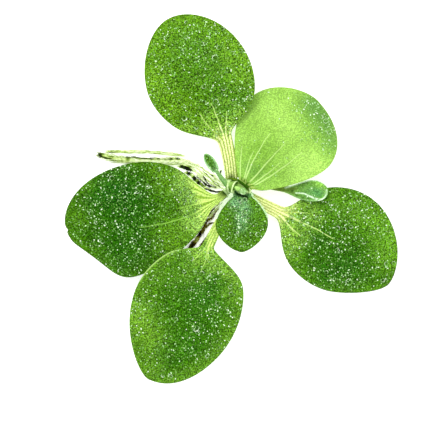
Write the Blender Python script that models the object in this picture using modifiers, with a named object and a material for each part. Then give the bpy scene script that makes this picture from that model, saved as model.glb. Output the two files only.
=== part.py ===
"""A young water lettuce as picked: a floating rosette of felted leaves on a short crown, with a few roots.

It lies on a flat surface at z = 0, seen best from above. The origin is the middle of the crown's underside,
+X runs to the right leaf and +Y to the upper leaf. Each leaf is a curved sheet that follows a midline: the
stalk widens into a blade, the sheet is cupped across, and it is thickened downwards with ribs underneath.
"""

import math
from dataclasses import dataclass

import bpy
from mathutils import Vector

MM = 0.001
SHORT_STEP = 0.001
MERGE_DISTANCE = 0.00001

# Crown: radius and height of the short stem's outline, from the foot to the dome on top.
CROWN_OUTLINE = [
    (2.3, 0.0),
    (2.8, 0.5),
    (2.9, 1.6),
    (2.7, 3.0),
    (1.6, 3.8),
    (1.2, 4.6),
    (1.1, 5.5),
    (0.6, 6.0),
]
CROWN_STEPS = 20

# Leaves: thickness in the blade, at the margin and in the stalk, and the ribs on the underside.
BLADE_THICKNESS = 0.95
MARGIN_THICKNESS = 0.45
STALK_THICKNESS = 1.9
STALK_MARGIN_THICKNESS = 1.0
STALK_FADES_AT = 0.45
RIB_DEPTH = 0.5
RIB_EVERY = 2
DEEPEST = STALK_THICKNESS + RIB_DEPTH

# A blade's grid turns into its tip where the half width has fallen to this share of the widest.
SHOULDER_SHARE = 0.9
TIP_ROW_BEND = 2.2
WIDTH_SAMPLES = 200
HALVINGS = 30

# Tubes: sides of a root or stalk, and the points on each span between its given points.
TUBE_BEVEL_RESOLUTION = 2
TUBE_POINTS_PER_SPAN = 3


@dataclass
class Leaf:
    """Driving dimensions of one leaf, in millimetres, degrees and shares of its midline."""

    name: str
    base: tuple  # x and y where its stalk meets the crown
    tip: tuple  # x and y of its far end
    bow: float  # how far the midline bows to the left
    s_bend: float  # how far it bends left and then right
    stalk: tuple  # half width at the crown, and the half width that it grows towards
    left: tuple  # left half of the blade: half width, start, place of the widest point, bluntness
    right: tuple  # the same for the right half
    flare: float  # how gently the blade opens from the stalk
    heights: tuple  # heights that pull the midline's upper side, from crown to tip
    cup: tuple  # degrees that the left and right margins turn up
    wave: tuple  # height and number of the waves along the margin
    thickness: float = 1.0  # share of the usual thickness
    cells: tuple = (14, 16)  # cells across and along the sheet


LEAVES = [
    Leaf(
        name="leaf_upper",
        base=(-1.7, 2.9),
        tip=(-18.2, 42.6),
        bow=-2.9,
        s_bend=-0.3,
        stalk=(1.45, 3.0),
        left=(13.5, 0.17, 1.09, 0.53),
        right=(12.6, 0.21, 1.04, 0.49),
        flare=0.12,
        heights=(3.6, 6.5, 15.5, 11.0, 0.5),
        cup=(6.0, 8.0),
        wave=(0.35, 2.0),
    ),
    Leaf(
        name="leaf_upper_right",
        base=(1.5, 0.9),
        tip=(20.0, 22.3),
        bow=1.0,
        s_bend=0.0,
        stalk=(1.95, 3.0),
        left=(12.1, 0.0, 1.30, 0.64),
        right=(13.4, 0.0, 1.56, 0.38),
        flare=0.03,
        heights=(6.8, 7.6, 8.6, 9.6, 5.0),
        cup=(-12.0, 3.0),
        wave=(0.4, 1.5),
    ),
    Leaf(
        name="leaf_right",
        base=(3.1, -1.9),
        tip=(37.7, -23.8),
        bow=1.8,
        s_bend=-0.4,
        stalk=(1.3, 3.0),
        left=(14.0, 0.16, 1.09, 0.66),
        right=(11.9, 0.15, 1.02, 0.61),
        flare=0.13,
        heights=(3.4, 4.2, 6.5, 5.5, 0.5),
        cup=(-7.0, 6.0),
        wave=(0.35, 2.5),
    ),
    Leaf(
        name="leaf_lower",
        base=(-1.8, -2.9),
        tip=(-22.5, -47.5),
        bow=-0.6,
        s_bend=-0.1,
        stalk=(0.9, 3.0),
        left=(15.0, 0.23, 0.89, 0.43),
        right=(11.6, 0.24, 0.91, 0.69),
        flare=0.08,
        heights=(3.4, 6.0, 10.5, 8.0, 0.5),
        cup=(6.0, 7.0),
        wave=(0.35, 2.0),
    ),
    Leaf(
        name="leaf_left",
        base=(-3.3, -0.7),
        tip=(-41.7, -12.7),
        bow=0.69,
        s_bend=1.61,
        stalk=(0.95, 3.0),
        left=(13.7, 0.04, 1.51, 0.72),
        right=(14.3, 0.01, 1.09, 0.45),
        flare=0.10,
        heights=(3.4, 4.6, 6.0, 5.0, 0.5),
        cup=(2.0, 5.0),
        wave=(0.3, 2.0),
    ),
    Leaf(
        name="leaf_centre",
        base=(1.0, -0.9),
        tip=(0.8, -15.55),
        bow=0.1,
        s_bend=0.0,
        stalk=(2.3, 3.4),
        left=(5.75, 0.0, 1.03, 0.8),
        right=(5.85, 0.0, 1.11, 0.71),
        flare=0.06,
        heights=(7.8, 9.2, 9.4, 8.2, 5.6),
        cup=(14.0, 14.0),
        wave=(0.2, 1.5),
        thickness=0.8,
        cells=(12, 12),
    ),
    Leaf(
        name="leaf_young_folded",
        base=(3.3, 2.2),
        tip=(22.4, 0.2),
        bow=-1.0,
        s_bend=0.25,
        stalk=(0.45, 0.9),
        left=(2.5, 0.42, 1.5, 0.5),
        right=(2.3, 0.34, 2.4, 0.38),
        flare=0.25,
        heights=(3.0, 2.8, 5.0, 6.2, 6.0),
        cup=(30.0, 62.0),
        wave=(0.0, 1.0),
        thickness=0.6,
        cells=(10, 12),
    ),
    Leaf(
        name="leaf_young_furled",
        base=(-2.7, 1.2),
        tip=(-8.3, 9.0),
        bow=0.15,
        s_bend=0.0,
        stalk=(0.32, 0.28),
        left=(1.15, 0.42, 1.0, 0.5),
        right=(1.2, 0.42, 1.0, 0.5),
        flare=0.08,
        heights=(4.8, 5.2, 6.4, 7.4, 7.8),
        cup=(64.0, 64.0),
        wave=(0.0, 1.0),
        thickness=0.36,
        cells=(10, 10),
    ),
]

# Tubes: x, y, height and radius at points along each one, in millimetres, from the crown outwards.
TUBES = {
    "bud": [
        (-0.4, 0.5, 6.5, 0.45),
        (-0.2, 0.45, 7.5, 0.6),
        (0.5, 0.1, 8.5, 0.7),
        (1.15, -0.4, 9.2, 0.95),
        (1.5, -0.8, 9.5, 0.5),
    ],
    "leaf_sheath": [
        (-2.3, 2.8, 5.6, 0.3),
        (-1.0, 2.75, 6.9, 0.34),
        (0.1, 2.45, 7.6, 0.4),
        (1.3, 1.6, 8.25, 0.4),
        (2.4, 0.65, 8.7, 0.25),
    ],
    "root_long": [
        (-3.5, 1.0, 1.0, 0.5),
        (-6.5, 3.6, 0.9, 0.7),
        (-10.0, 5.9, 0.95, 0.85),
        (-14.5, 7.3, 1.05, 0.95),
        (-22.0, 7.2, 1.05, 0.95),
        (-29.5, 7.7, 0.9, 0.75),
        (-35.2, 9.0, 0.45, 0.25),
    ],
    "root_upper_strand": [
        (-13.2, 8.8, 0.5, 0.25),
        (-17.5, 9.1, 0.45, 0.35),
        (-22.0, 9.6, 0.45, 0.35),
        (-28.2, 9.9, 0.45, 0.35),
        (-33.0, 9.9, 0.25, 0.15),
    ],
    "root_short": [
        (-3.6, -0.1, 0.6, 0.3),
        (-5.8, 0.1, 0.5, 0.4),
        (-8.4, 1.6, 0.5, 0.5),
        (-11.0, 3.8, 0.5, 0.45),
        (-13.0, 4.9, 0.3, 0.15),
    ],
    "root_dark": [
        (-2.9, -2.4, 0.7, 0.4),
        (-6.1, -6.6, 0.6, 0.5),
        (-8.7, -10.2, 0.7, 0.6),
        (-12.0, -14.6, 0.7, 0.6),
        (-15.0, -19.5, 0.55, 0.45),
        (-17.0, -24.0, 0.4, 0.25),
    ],
    "root_thin_left": [
        (-4.5, -3.0, 0.5, 0.2),
        (-6.4, -5.1, 0.4, 0.22),
        (-8.9, -8.2, 0.4, 0.22),
        (-13.0, -12.4, 0.3, 0.12),
    ],
    "root_thin_right": [
        (-6.9, -10.3, 0.4, 0.2),
        (-8.3, -12.4, 0.4, 0.22),
        (-10.0, -14.8, 0.4, 0.22),
        (-12.0, -18.2, 0.3, 0.12),
    ],
}

# Colours of the kinds of piece, as red, green and blue, and their roughness.
FELTED_GREEN = ((0.10, 0.30, 0.03), 0.6)
BRIGHT_GREEN = ((0.35, 0.72, 0.12), 0.5)
DEEP_GREEN = ((0.06, 0.22, 0.06), 0.6)
YOUNG_GREEN = ((0.16, 0.38, 0.10), 0.55)
PALE_GREEN = ((0.45, 0.62, 0.20), 0.5)
ROOT_CREAM = ((0.70, 0.66, 0.35), 0.7)
ROOT_BROWN = ((0.13, 0.09, 0.02), 0.7)
FINISHES = {
    "leaf_upper_right": BRIGHT_GREEN,
    "leaf_centre": DEEP_GREEN,
    "leaf_sheath": DEEP_GREEN,
    "leaf_young_folded": YOUNG_GREEN,
    "leaf_young_furled": YOUNG_GREEN,
    "crown": PALE_GREEN,
    "bud": PALE_GREEN,
    "root_long": ROOT_CREAM,
    "root_upper_strand": ROOT_CREAM,
    "root_short": ROOT_CREAM,
    "root_dark": ROOT_BROWN,
    "root_thin_left": ROOT_BROWN,
    "root_thin_right": ROOT_BROWN,
}


def clear_scene():
    for obj in list(bpy.data.objects):
        bpy.data.objects.remove(obj, do_unlink=True)


def finish(obj, collection):
    """Give the object its own material, and move it into the plant's collection."""
    colour, roughness = FINISHES.get(obj.name, FELTED_GREEN)
    material = bpy.data.materials.new(obj.name)
    material.use_nodes = True
    shader = material.node_tree.nodes["Principled BSDF"]
    shader.inputs["Base Color"].default_value = (*colour, 1.0)
    shader.inputs["Roughness"].default_value = roughness
    shader.inputs["Metallic"].default_value = 0.0
    obj.data.materials.append(material)
    for other in list(obj.users_collection):
        other.objects.unlink(obj)
    collection.objects.link(obj)


def pulled(values, t):
    """Point at t of the smooth curve that starts and ends at the outer values and is pulled by the others."""
    values = list(values)
    while len(values) > 1:
        values = [a + (b - a) * t for a, b in zip(values, values[1:])]
    return values[0]


def half_width(leaf, side, t):
    """Half width of stalk and blade together at place t, on the left (-1) or the right (1)."""
    widest, start, place, bluntness = leaf.right if side > 0 else leaf.left
    stalk = pulled(leaf.stalk, t) * math.sqrt(max(0.0, 1.0 - t**4))
    s = min(max((t - start) / (1.0 - start), 0.0), 1.0)
    opening = 1.0 - math.exp(-((s / leaf.flare) ** 2))
    blade = widest * opening * max(0.0, math.sin(math.pi * s**place)) ** bluntness
    return math.hypot(stalk, blade)


def narrows_to(leaf, side, width, low):
    """Place beyond low where the half width has fallen to the given one."""
    high = 1.0
    for _ in range(HALVINGS):
        middle = (low + high) / 2
        if half_width(leaf, side, middle) > width:
            low = middle
        else:
            high = middle
    return low


def shoulder(leaf, side):
    """Place and half width where one side of the blade turns in towards the tip."""
    places = (step / WIDTH_SAMPLES for step in range(WIDTH_SAMPLES))
    widest = max(places, key=lambda t: half_width(leaf, side, t))
    width = SHOULDER_SHARE * half_width(leaf, side, widest)
    return narrows_to(leaf, side, width, widest), width


def midline(leaf, t):
    """Point of the midline seen from above, and its direction there."""
    base, tip = Vector(leaf.base), Vector(leaf.tip)
    chord = tip - base
    left = Vector((-chord.y, chord.x)).normalized()

    def point(t):
        return base + chord * t + left * t * (1 - t) * (4 * leaf.bow + 10 * leaf.s_bend * (1 - 2 * t))

    return point(t), (point(t + SHORT_STEP) - point(t - SHORT_STEP)).normalized()


def sheet_point(leaf, across, along):
    """Point of the leaf's upper side at -1 to 1 across and 0 to 1 along."""
    side = 1 if across > 0 else -1
    share = math.sin(math.pi / 2 * abs(across))
    turn, turn_width = shoulder(leaf, side)
    end = narrows_to(leaf, side, share * turn_width, turn)
    t = along - (1.0 - end) * along**TIP_ROW_BEND
    width = half_width(leaf, side, t) if t < turn else turn_width
    centre, direction = midline(leaf, t)
    spot = centre + Vector((direction.y, -direction.x)) * side * share * width

    cup = math.radians(leaf.cup[1] if side > 0 else leaf.cup[0])
    turned_up = width * (1.0 - math.sqrt(1.0 - (share * math.sin(cup)) ** 2)) / math.sin(cup)
    height, count = leaf.wave
    wave = height * share**3 * math.sin(2 * math.pi * (count * t + 0.25 * side)) * width / turn_width
    return Vector((spot.x, spot.y, pulled(leaf.heights, t) + turned_up + wave)) * MM


def sheet_thickness(leaf, across, along):
    """Thickness of the leaf in millimetres: deep along the stalk, thin at the margin, ribbed underneath."""
    inside = math.cos(math.pi / 2 * across) * (1.0 - along**6)
    stalky = max(0.0, 1.0 - along / STALK_FADES_AT)
    middle = BLADE_THICKNESS + (STALK_THICKNESS - BLADE_THICKNESS) * stalky
    margin = MARGIN_THICKNESS + (STALK_MARGIN_THICKNESS - MARGIN_THICKNESS) * stalky
    column = round(across * leaf.cells[0] / 2)
    rib = RIB_DEPTH * (1.0 - along**2) * inside if column % RIB_EVERY == 0 else 0.0
    return leaf.thickness * (margin + (middle - margin) * inside + rib)


def make_leaf(leaf, collection):
    """A flat grid, shaped by the leaf's dimensions and thickened downwards."""
    across_cells, along_cells = leaf.cells
    bpy.ops.mesh.primitive_grid_add(x_subdivisions=across_cells, y_subdivisions=along_cells, size=2)
    obj = bpy.context.object
    obj.name = leaf.name
    obj.data.name = leaf.name
    group = obj.vertex_groups.new(name="thickness")
    for vertex in obj.data.vertices:
        across = vertex.co.x
        along = (vertex.co.y + 1.0) / 2
        group.add([vertex.index], sheet_thickness(leaf, across, along) / DEEPEST, "REPLACE")
        vertex.co = sheet_point(leaf, across, along)
    solid = obj.modifiers.new("thickness", "SOLIDIFY")
    solid.thickness = DEEPEST * MM
    solid.offset = -1.0
    solid.vertex_group = group.name
    obj.data.shade_smooth()
    finish(obj, collection)


def smooth_route(points):
    """Points of a smooth curve through the given ones."""
    route = [Vector(point) for point in points]
    ends = [route[0] * 2 - route[1], *route, route[-1] * 2 - route[-2]]
    smooth = []
    for a, b, c, d in zip(ends, ends[1:], ends[2:], ends[3:]):
        for step in range(TUBE_POINTS_PER_SPAN):
            t = step / TUBE_POINTS_PER_SPAN
            bend = (c - a) * t + (a * 2 - b * 5 + c * 4 - d) * t**2 + (b * 3 - a - c * 3 + d) * t**3
            smooth.append(b + bend / 2)
    return [*smooth, route[-1]]


def make_tube(name, points, collection):
    """A tapered round tube along a smooth curve, with filled ends."""
    curve = bpy.data.curves.new(name, "CURVE")
    curve.dimensions = "3D"
    curve.bevel_depth = MM
    curve.bevel_resolution = TUBE_BEVEL_RESOLUTION
    curve.use_fill_caps = True
    spline = curve.splines.new("POLY")
    route = smooth_route(points)
    spline.points.add(len(route) - 1)
    for spot, (x, y, z, radius) in zip(spline.points, route):
        spot.co = (x * MM, y * MM, z * MM, 1.0)
        spot.radius = radius
    obj = bpy.data.objects.new(name, curve)
    collection.objects.link(obj)
    finish(obj, collection)


def make_crown(collection):
    """The short stem, turned from its outline round the upright axis."""
    mesh = bpy.data.meshes.new("crown")
    outline = [(0.0, CROWN_OUTLINE[-1][1]), *reversed(CROWN_OUTLINE), (0.0, 0.0)]
    corners = [(radius * MM, 0.0, height * MM) for radius, height in outline]
    mesh.from_pydata(corners, [(i, i + 1) for i in range(len(corners) - 1)], [])
    obj = bpy.data.objects.new("crown", mesh)
    collection.objects.link(obj)
    turn = obj.modifiers.new("turn", "SCREW")
    turn.steps = CROWN_STEPS
    turn.render_steps = CROWN_STEPS
    turn.use_merge_vertices = True
    turn.merge_threshold = MERGE_DISTANCE
    finish(obj, collection)


clear_scene()
plant = bpy.data.collections.new("water_lettuce")
bpy.context.scene.collection.children.link(plant)
make_crown(plant)
for leaf in LEAVES:
    make_leaf(leaf, plant)
for name, points in TUBES.items():
    make_tube(name, points, plant)
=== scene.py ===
"""The looks of a young water lettuce as picked, lying leaf side up on a pale surface.

World units are metres, and the sizes in each section are in millimetres. The origin is the middle of the
crown's underside, +X runs to the right leaf and +Y to the upper leaf.
"""

import math

import bpy
import numpy as np
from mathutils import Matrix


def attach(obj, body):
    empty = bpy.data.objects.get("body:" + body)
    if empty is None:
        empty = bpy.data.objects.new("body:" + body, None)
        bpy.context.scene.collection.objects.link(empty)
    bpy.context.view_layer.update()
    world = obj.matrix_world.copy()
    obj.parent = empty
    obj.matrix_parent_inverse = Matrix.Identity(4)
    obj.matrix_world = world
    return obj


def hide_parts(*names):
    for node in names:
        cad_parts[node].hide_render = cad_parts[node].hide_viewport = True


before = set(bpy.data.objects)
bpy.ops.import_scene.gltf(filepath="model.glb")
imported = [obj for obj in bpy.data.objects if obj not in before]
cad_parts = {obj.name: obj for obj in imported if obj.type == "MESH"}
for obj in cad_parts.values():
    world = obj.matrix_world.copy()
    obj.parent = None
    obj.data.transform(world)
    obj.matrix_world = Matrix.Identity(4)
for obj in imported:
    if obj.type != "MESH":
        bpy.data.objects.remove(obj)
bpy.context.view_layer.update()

# ---------------------------------------------------------------------------------------------------
# Crown. The short thick stem of living tissue that every leaf and root grows from. Each stalk leaves it
# through a swollen collar, and thin pale sheaths stand round the youngest growth in its middle.
# ---------------------------------------------------------------------------------------------------
MM = 0.001
CROWN_VOXEL = 0.13
CROWN_SMOOTHING = 4
CROWN_HOLLOW_REACH = 40
SHEATH_STEPS = 6

# Lumps of the stem: x, y and height of the middle, three radii (along, across, up) and the turn in degrees.
CROWN_LUMPS = [
    (0.0, 0.0, 0.9, 2.6, 2.6, 1.5, 0),
    (0.0, 0.1, 2.6, 2.5, 2.5, 1.6, 0),
    (0.1, 0.1, 4.4, 1.6, 1.6, 1.9, 0),
    (0.4, -0.1, 5.9, 1.5, 1.5, 1.2, 0),
    (-1.6, 2.5, 2.6, 1.2, 1.6, 1.15, 94),
    (2.7, -1.7, 2.4, 1.2, 1.45, 1.1, -28),
    (-1.6, -2.5, 2.4, 1.2, 1.1, 1.1, -119),
    (-2.9, -0.7, 2.4, 1.2, 1.3, 1.1, 220),
    (1.2, 0.6, 5.6, 1.2, 2.05, 1.25, 57),
    (0.6, -0.6, 6.9, 1.0, 2.1, 0.95, -90),
    (-2.3, 1.0, 4.1, 1.1, 0.95, 1.0, 125),
    (-1.9, 1.3, 4.9, 0.95, 1.5, 1.3, 15),
    (-0.9, 0.9, 5.8, 0.9, 1.4, 1.0, 10),
    (2.8, 1.7, 2.3, 1.1, 0.95, 0.8, 25),
]

# Deep shade under the bud and beside the left stalk: x, y, radius and strength.
CROWN_SHADE = [
    (-0.75, -0.4, 0.5, 1.0), (-0.2, -0.9, 0.5, 1.0), (0.6, -1.3, 0.5, 1.0), (1.6, -1.6, 0.5, 0.9),
    (-2.6, -0.2, 0.5, 0.35), (-3.2, -1.0, 0.7, 0.35), (-2.9, 0.5, 0.5, 0.25),
]

# Sheaths: x, y, height and radius of the rim that each one rises to, and how far it hangs below the rim.
SHEATHS = [
    ([(0.2, 2.3, 6.6, 0.3), (-0.7, 1.9, 7.0, 0.3), (-1.3, 0.8, 7.1, 0.34), (-1.55, -0.4, 7.0, 0.3)], 1.1),
    ([(-1.3, 2.8, 5.2, 0.34), (-2.2, 2.1, 5.7, 0.36), (-2.55, 0.9, 5.9, 0.4), (-2.4, -0.4, 5.8, 0.34)], 1.2),
    ([(2.6, 0.5, 6.5, 0.3), (3.0, -0.1, 6.9, 0.34), (2.9, -0.9, 7.0, 0.3)], 0.8),
]


def smooth_route(points, steps):
    """Points of a smooth curve through the given ones, with every other number that they carry."""
    route = np.array(points, dtype=float)
    ends = np.vstack([route[0] * 2 - route[1], route, route[-1] * 2 - route[-2]])
    t = (np.arange(steps) / steps)[:, None]
    smooth = []
    for a, b, c, d in zip(ends, ends[1:], ends[2:], ends[3:]):
        bend = (c - a) * t + (a * 2 - b * 5 + c * 4 - d) * t**2 + (b * 3 - a - c * 3 + d) * t**3
        smooth.append(b + bend / 2)
    return np.vstack([*smooth, route[-1:]])


def mesh_points(mesh):
    flat = np.zeros(len(mesh.vertices) * 3)
    mesh.vertices.foreach_get("co", flat)
    return flat.reshape(-1, 3)


def set_points(mesh, points):
    mesh.vertices.foreach_set("co", points.ravel())
    mesh.update()


def add_attribute(mesh, name, values):
    attribute = mesh.attributes.new(name, "FLOAT", "POINT")
    attribute.data.foreach_set("value", np.asarray(values, dtype=np.float32))


def fused(name, lumps, voxel, smoothing):
    """Lumps grown together into one closed smooth body. Works in millimetres and ends in metres."""
    bpy.ops.object.select_all(action="DESELECT")
    bpy.ops.mesh.primitive_uv_sphere_add(segments=16, ring_count=10, radius=0.1, location=(0.0, 0.0, 0.0))
    obj = bpy.context.object
    obj.name = name
    obj.data.name = name

    # The first ball only makes the object, and the lumps take its place.
    bpy.ops.object.mode_set(mode="EDIT")
    bpy.ops.mesh.delete(type="VERT")
    for x, y, z, along, across, up, turn in lumps:
        bpy.ops.mesh.primitive_uv_sphere_add(
            segments=16, ring_count=10, radius=1.0, location=(x, y, z),
            rotation=(0.0, 0.0, math.radians(turn)), scale=(along, across, up),
        )
    bpy.ops.object.mode_set(mode="OBJECT")
    grown = obj.modifiers.new("grown_together", "REMESH")
    grown.mode = "VOXEL"
    grown.voxel_size = voxel
    bpy.ops.object.modifier_apply(modifier=grown.name)
    smooth = obj.modifiers.new("smooth", "SMOOTH")
    smooth.factor = 0.5
    smooth.iterations = smoothing
    bpy.ops.object.modifier_apply(modifier=smooth.name)
    bpy.ops.object.shade_smooth()
    points = mesh_points(obj.data)
    points[:, 2] = np.maximum(points[:, 2], 0.0)
    set_points(obj.data, points * MM)
    return obj


def hollows(mesh, reach):
    """For each point, how far a strongly smoothed copy of the surface lies outside it, in millimetres."""
    points = mesh_points(mesh)
    normals = np.zeros(len(mesh.vertices) * 3)
    mesh.vertices.foreach_get("normal", normals)
    edges = np.zeros(len(mesh.edges) * 2, dtype=np.int64)
    mesh.edges.foreach_get("vertices", edges)
    a, b = edges.reshape(-1, 2).T
    neighbours = np.bincount(a, minlength=len(points)) + np.bincount(b, minlength=len(points))
    smooth = points.copy()
    for _ in range(reach):
        for axis in range(3):
            near = np.bincount(a, smooth[b, axis], len(points)) + np.bincount(b, smooth[a, axis], len(points))
            smooth[:, axis] = near / neighbours
    return ((smooth - points) * normals.reshape(-1, 3)).sum(axis=1) / MM


def soft_spots(points, spots):
    """Sum of soft round spots, each at x, y with a radius and a strength, at the given points."""
    total = np.zeros(len(points))
    for x, y, radius, strength in spots:
        distance = np.hypot(points[:, 0] - x, points[:, 1] - y)
        total += strength * np.exp(-((distance / radius) ** 2))
    return np.clip(total, -1.0, 1.0)


def linear(hex_colour):
    """An sRGB hex colour as linear red, green, blue and alpha."""
    channels = [int(hex_colour[i:i + 2], 16) / 255 for i in (0, 2, 4)]
    return (*(c / 12.92 if c <= 0.04045 else ((c + 0.055) / 1.055) ** 2.4 for c in channels), 1.0)


def new_material(name):
    material = bpy.data.materials.new(name)
    material.use_nodes = True
    return material


def add_node(material, kind, inputs=(), output=0, **settings):
    """Adds a node with its settings and links, and returns one of its outputs.

    Inputs go by their order or by name. Each is a value, or an output of another node to link it to.
    """
    node = material.node_tree.nodes.new("ShaderNode" + kind)
    for name, value in settings.items():
        setattr(node, name, value)
    for place, value in inputs.items() if isinstance(inputs, dict) else enumerate(inputs):
        if isinstance(value, bpy.types.NodeSocket):
            material.node_tree.links.new(value, node.inputs[place])
        else:
            node.inputs[place].default_value = value
    return node.outputs[output]


# Fleshy stem tissue: smooth and a little wet, with a painted highlight on what stands up and painted
# olive-brown shade in the creases. Its fibres run up the stem about 0.4 mm apart, and stains of the skin are
# about 0.8 mm across.
FIBRE_SPACING = 0.4
FIBRE_STRETCH = 4.0
STAIN_SPACING = 0.8
STAIN_SHIFT = 2.2  # how far stains move a crease's edge, in widths of that edge
CREST_FROM = 0.2
FIBRE_SHADES = (0.45, 1.55)
DEEP_SHADE = "04300a"
MIX_FACTOR, MIX_A, MIX_B, MIX_RESULT = 0, 6, 7, 2  # places of a colour mix's inputs and of its output


# The crease colour is painted shade in the creases, and the crest colour is a painted highlight on the
# crests.
def stem_tissue(name, crease_shade, flesh, crest, crease_from, crease_over):
    material = new_material(name)
    shader = material.node_tree.nodes["Principled BSDF"]
    hollow = add_node(material, "Attribute", output="Fac", attribute_name="hollow")
    shaded = add_node(material, "Attribute", output="Fac", attribute_name="dark")
    place = add_node(material, "TexCoord", output="Object")
    upwards = add_node(material, "Mapping", {"Vector": place, "Scale": (1.0, 1.0, 1 / FIBRE_STRETCH)})
    fibre, stain = (
        add_node(
            material, "TexNoise",
            {"Vector": vector, "Scale": 1 / (spacing * MM), "Detail": detail, "Roughness": 0.6},
        )
        for vector, spacing, detail in ((upwards, FIBRE_SPACING, 2.0), (place, STAIN_SPACING, 3.0))
    )

    half_shift = STAIN_SHIFT * crease_over / 2
    uneven = add_node(material, "MapRange", (stain, 0.0, 1.0, -half_shift, half_shift))
    depth = add_node(material, "Math", (hollow, uneven), operation="ADD")
    crease_shade_share = add_node(material, "MapRange", (depth, crease_from, crease_from + crease_over))
    highlight_range = (-CREST_FROM * crease_over, -(1 + CREST_FROM) * crease_over)
    highlight_share = add_node(material, "MapRange", (depth, *highlight_range))
    streak = add_node(material, "MapRange", (fibre, 0.0, 1.0, *FIBRE_SHADES))
    # Layers: painted highlight on the crests, painted shade in the creases and in the dark spots, then the
    # fibres.
    colour = linear(flesh)
    for share, tone, blend in (
        (highlight_share, linear(crest), "MIX"), (crease_shade_share, linear(crease_shade), "MIX"), (shaded, linear(DEEP_SHADE), "MIX"),
        (1.0, streak, "MULTIPLY"),
    ):
        colour = add_node(
            material, "Mix", {MIX_FACTOR: share, MIX_A: colour, MIX_B: tone}, MIX_RESULT,
            data_type="RGBA", blend_type=blend,
        )
    material.node_tree.links.new(colour, shader.inputs["Base Color"])
    bump = add_node(material, "Bump", {"Strength": 0.5, "Distance": 0.12 * MM, "Height": fibre})
    material.node_tree.links.new(bump, shader.inputs["Normal"])
    shader.inputs["Roughness"].default_value = 0.45
    shader.inputs["IOR"].default_value = 1.4
    shader.inputs["Specular IOR Level"].default_value = 0.03
    return material


def fleshy_part(name, tissue, lumps, voxel, smoothing, reach, shade=(), lift=0.0):
    """Lumps fused into a part of the crown, in its tissue. Reach and lift set how its hollows are shaded."""
    obj = fused(name, lumps, voxel, smoothing)
    add_attribute(obj.data, "hollow", hollows(obj.data, reach) + lift)
    add_attribute(obj.data, "dark", soft_spots(mesh_points(obj.data) / MM, shade))
    obj.data.materials.append(stem_tissue(*tissue))
    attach(obj, "root")
    return obj


# Its name, the colours of its painted shade in the creases, of its flesh and of its painted highlight on the
# crests, and the depth at which the painted crease shade starts and over which it darkens, in millimetres.
CROWN_TISSUE = ("crown_tissue", "4e7a1a", "8cb458", "d4ecac", 0.02, 0.2)

lumps = list(CROWN_LUMPS)
for rim, drop in SHEATHS:
    for x, y, z, radius in smooth_route(rim, SHEATH_STEPS):
        lumps.append((x, y, z - drop + radius, radius, radius, drop, 0))
crown = fleshy_part(
    "crown_stem", CROWN_TISSUE, lumps, CROWN_VOXEL, CROWN_SMOOTHING, CROWN_HOLLOW_REACH,
    shade=CROWN_SHADE,
)
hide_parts("crown")


# ---------------------------------------------------------------------------------------------------
# Roots. Soft strands that hang feathered in water and lie flat and matted here. The upper ones are fresh and
# cream to pale green, the lower ones are old and brown-black. They break out of the crown's foot.
# ---------------------------------------------------------------------------------------------------
ROOT_STEPS = 10
SEAM_STEPS = 8
SURFACE_CLEARANCE = 0.03
MERGE_DISTANCE = 0.001
KINK = 0.05
KINK_UPWARDS = 0.4  # as a share of the kinks sideways
SWELLING = 0.13
SWELLING_LIMITS = (0.7, 1.3)

# Rootlets: where they leave a strand, in its radii, how far they curl back, as a share of their reach
# sideways, how far their tips sink and may pass the strand's tip, and how thickness and length vary.
START_OUT = (0.1, 1.0)
START_UP = (-0.2, 0.95)
CURL_BACK = (0.3, 1.1)
SINK = (0.0, 0.9)
PAST_TIP = 0.4
ROOTLET_WIDTHS = (0.6, 1.3)
LENGTH_POWER = 1.2  # above 1, so that more of them are long
FLATTENED = 0.3  # share of its thickness that a rootlet keeps where it lies on the surface

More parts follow.
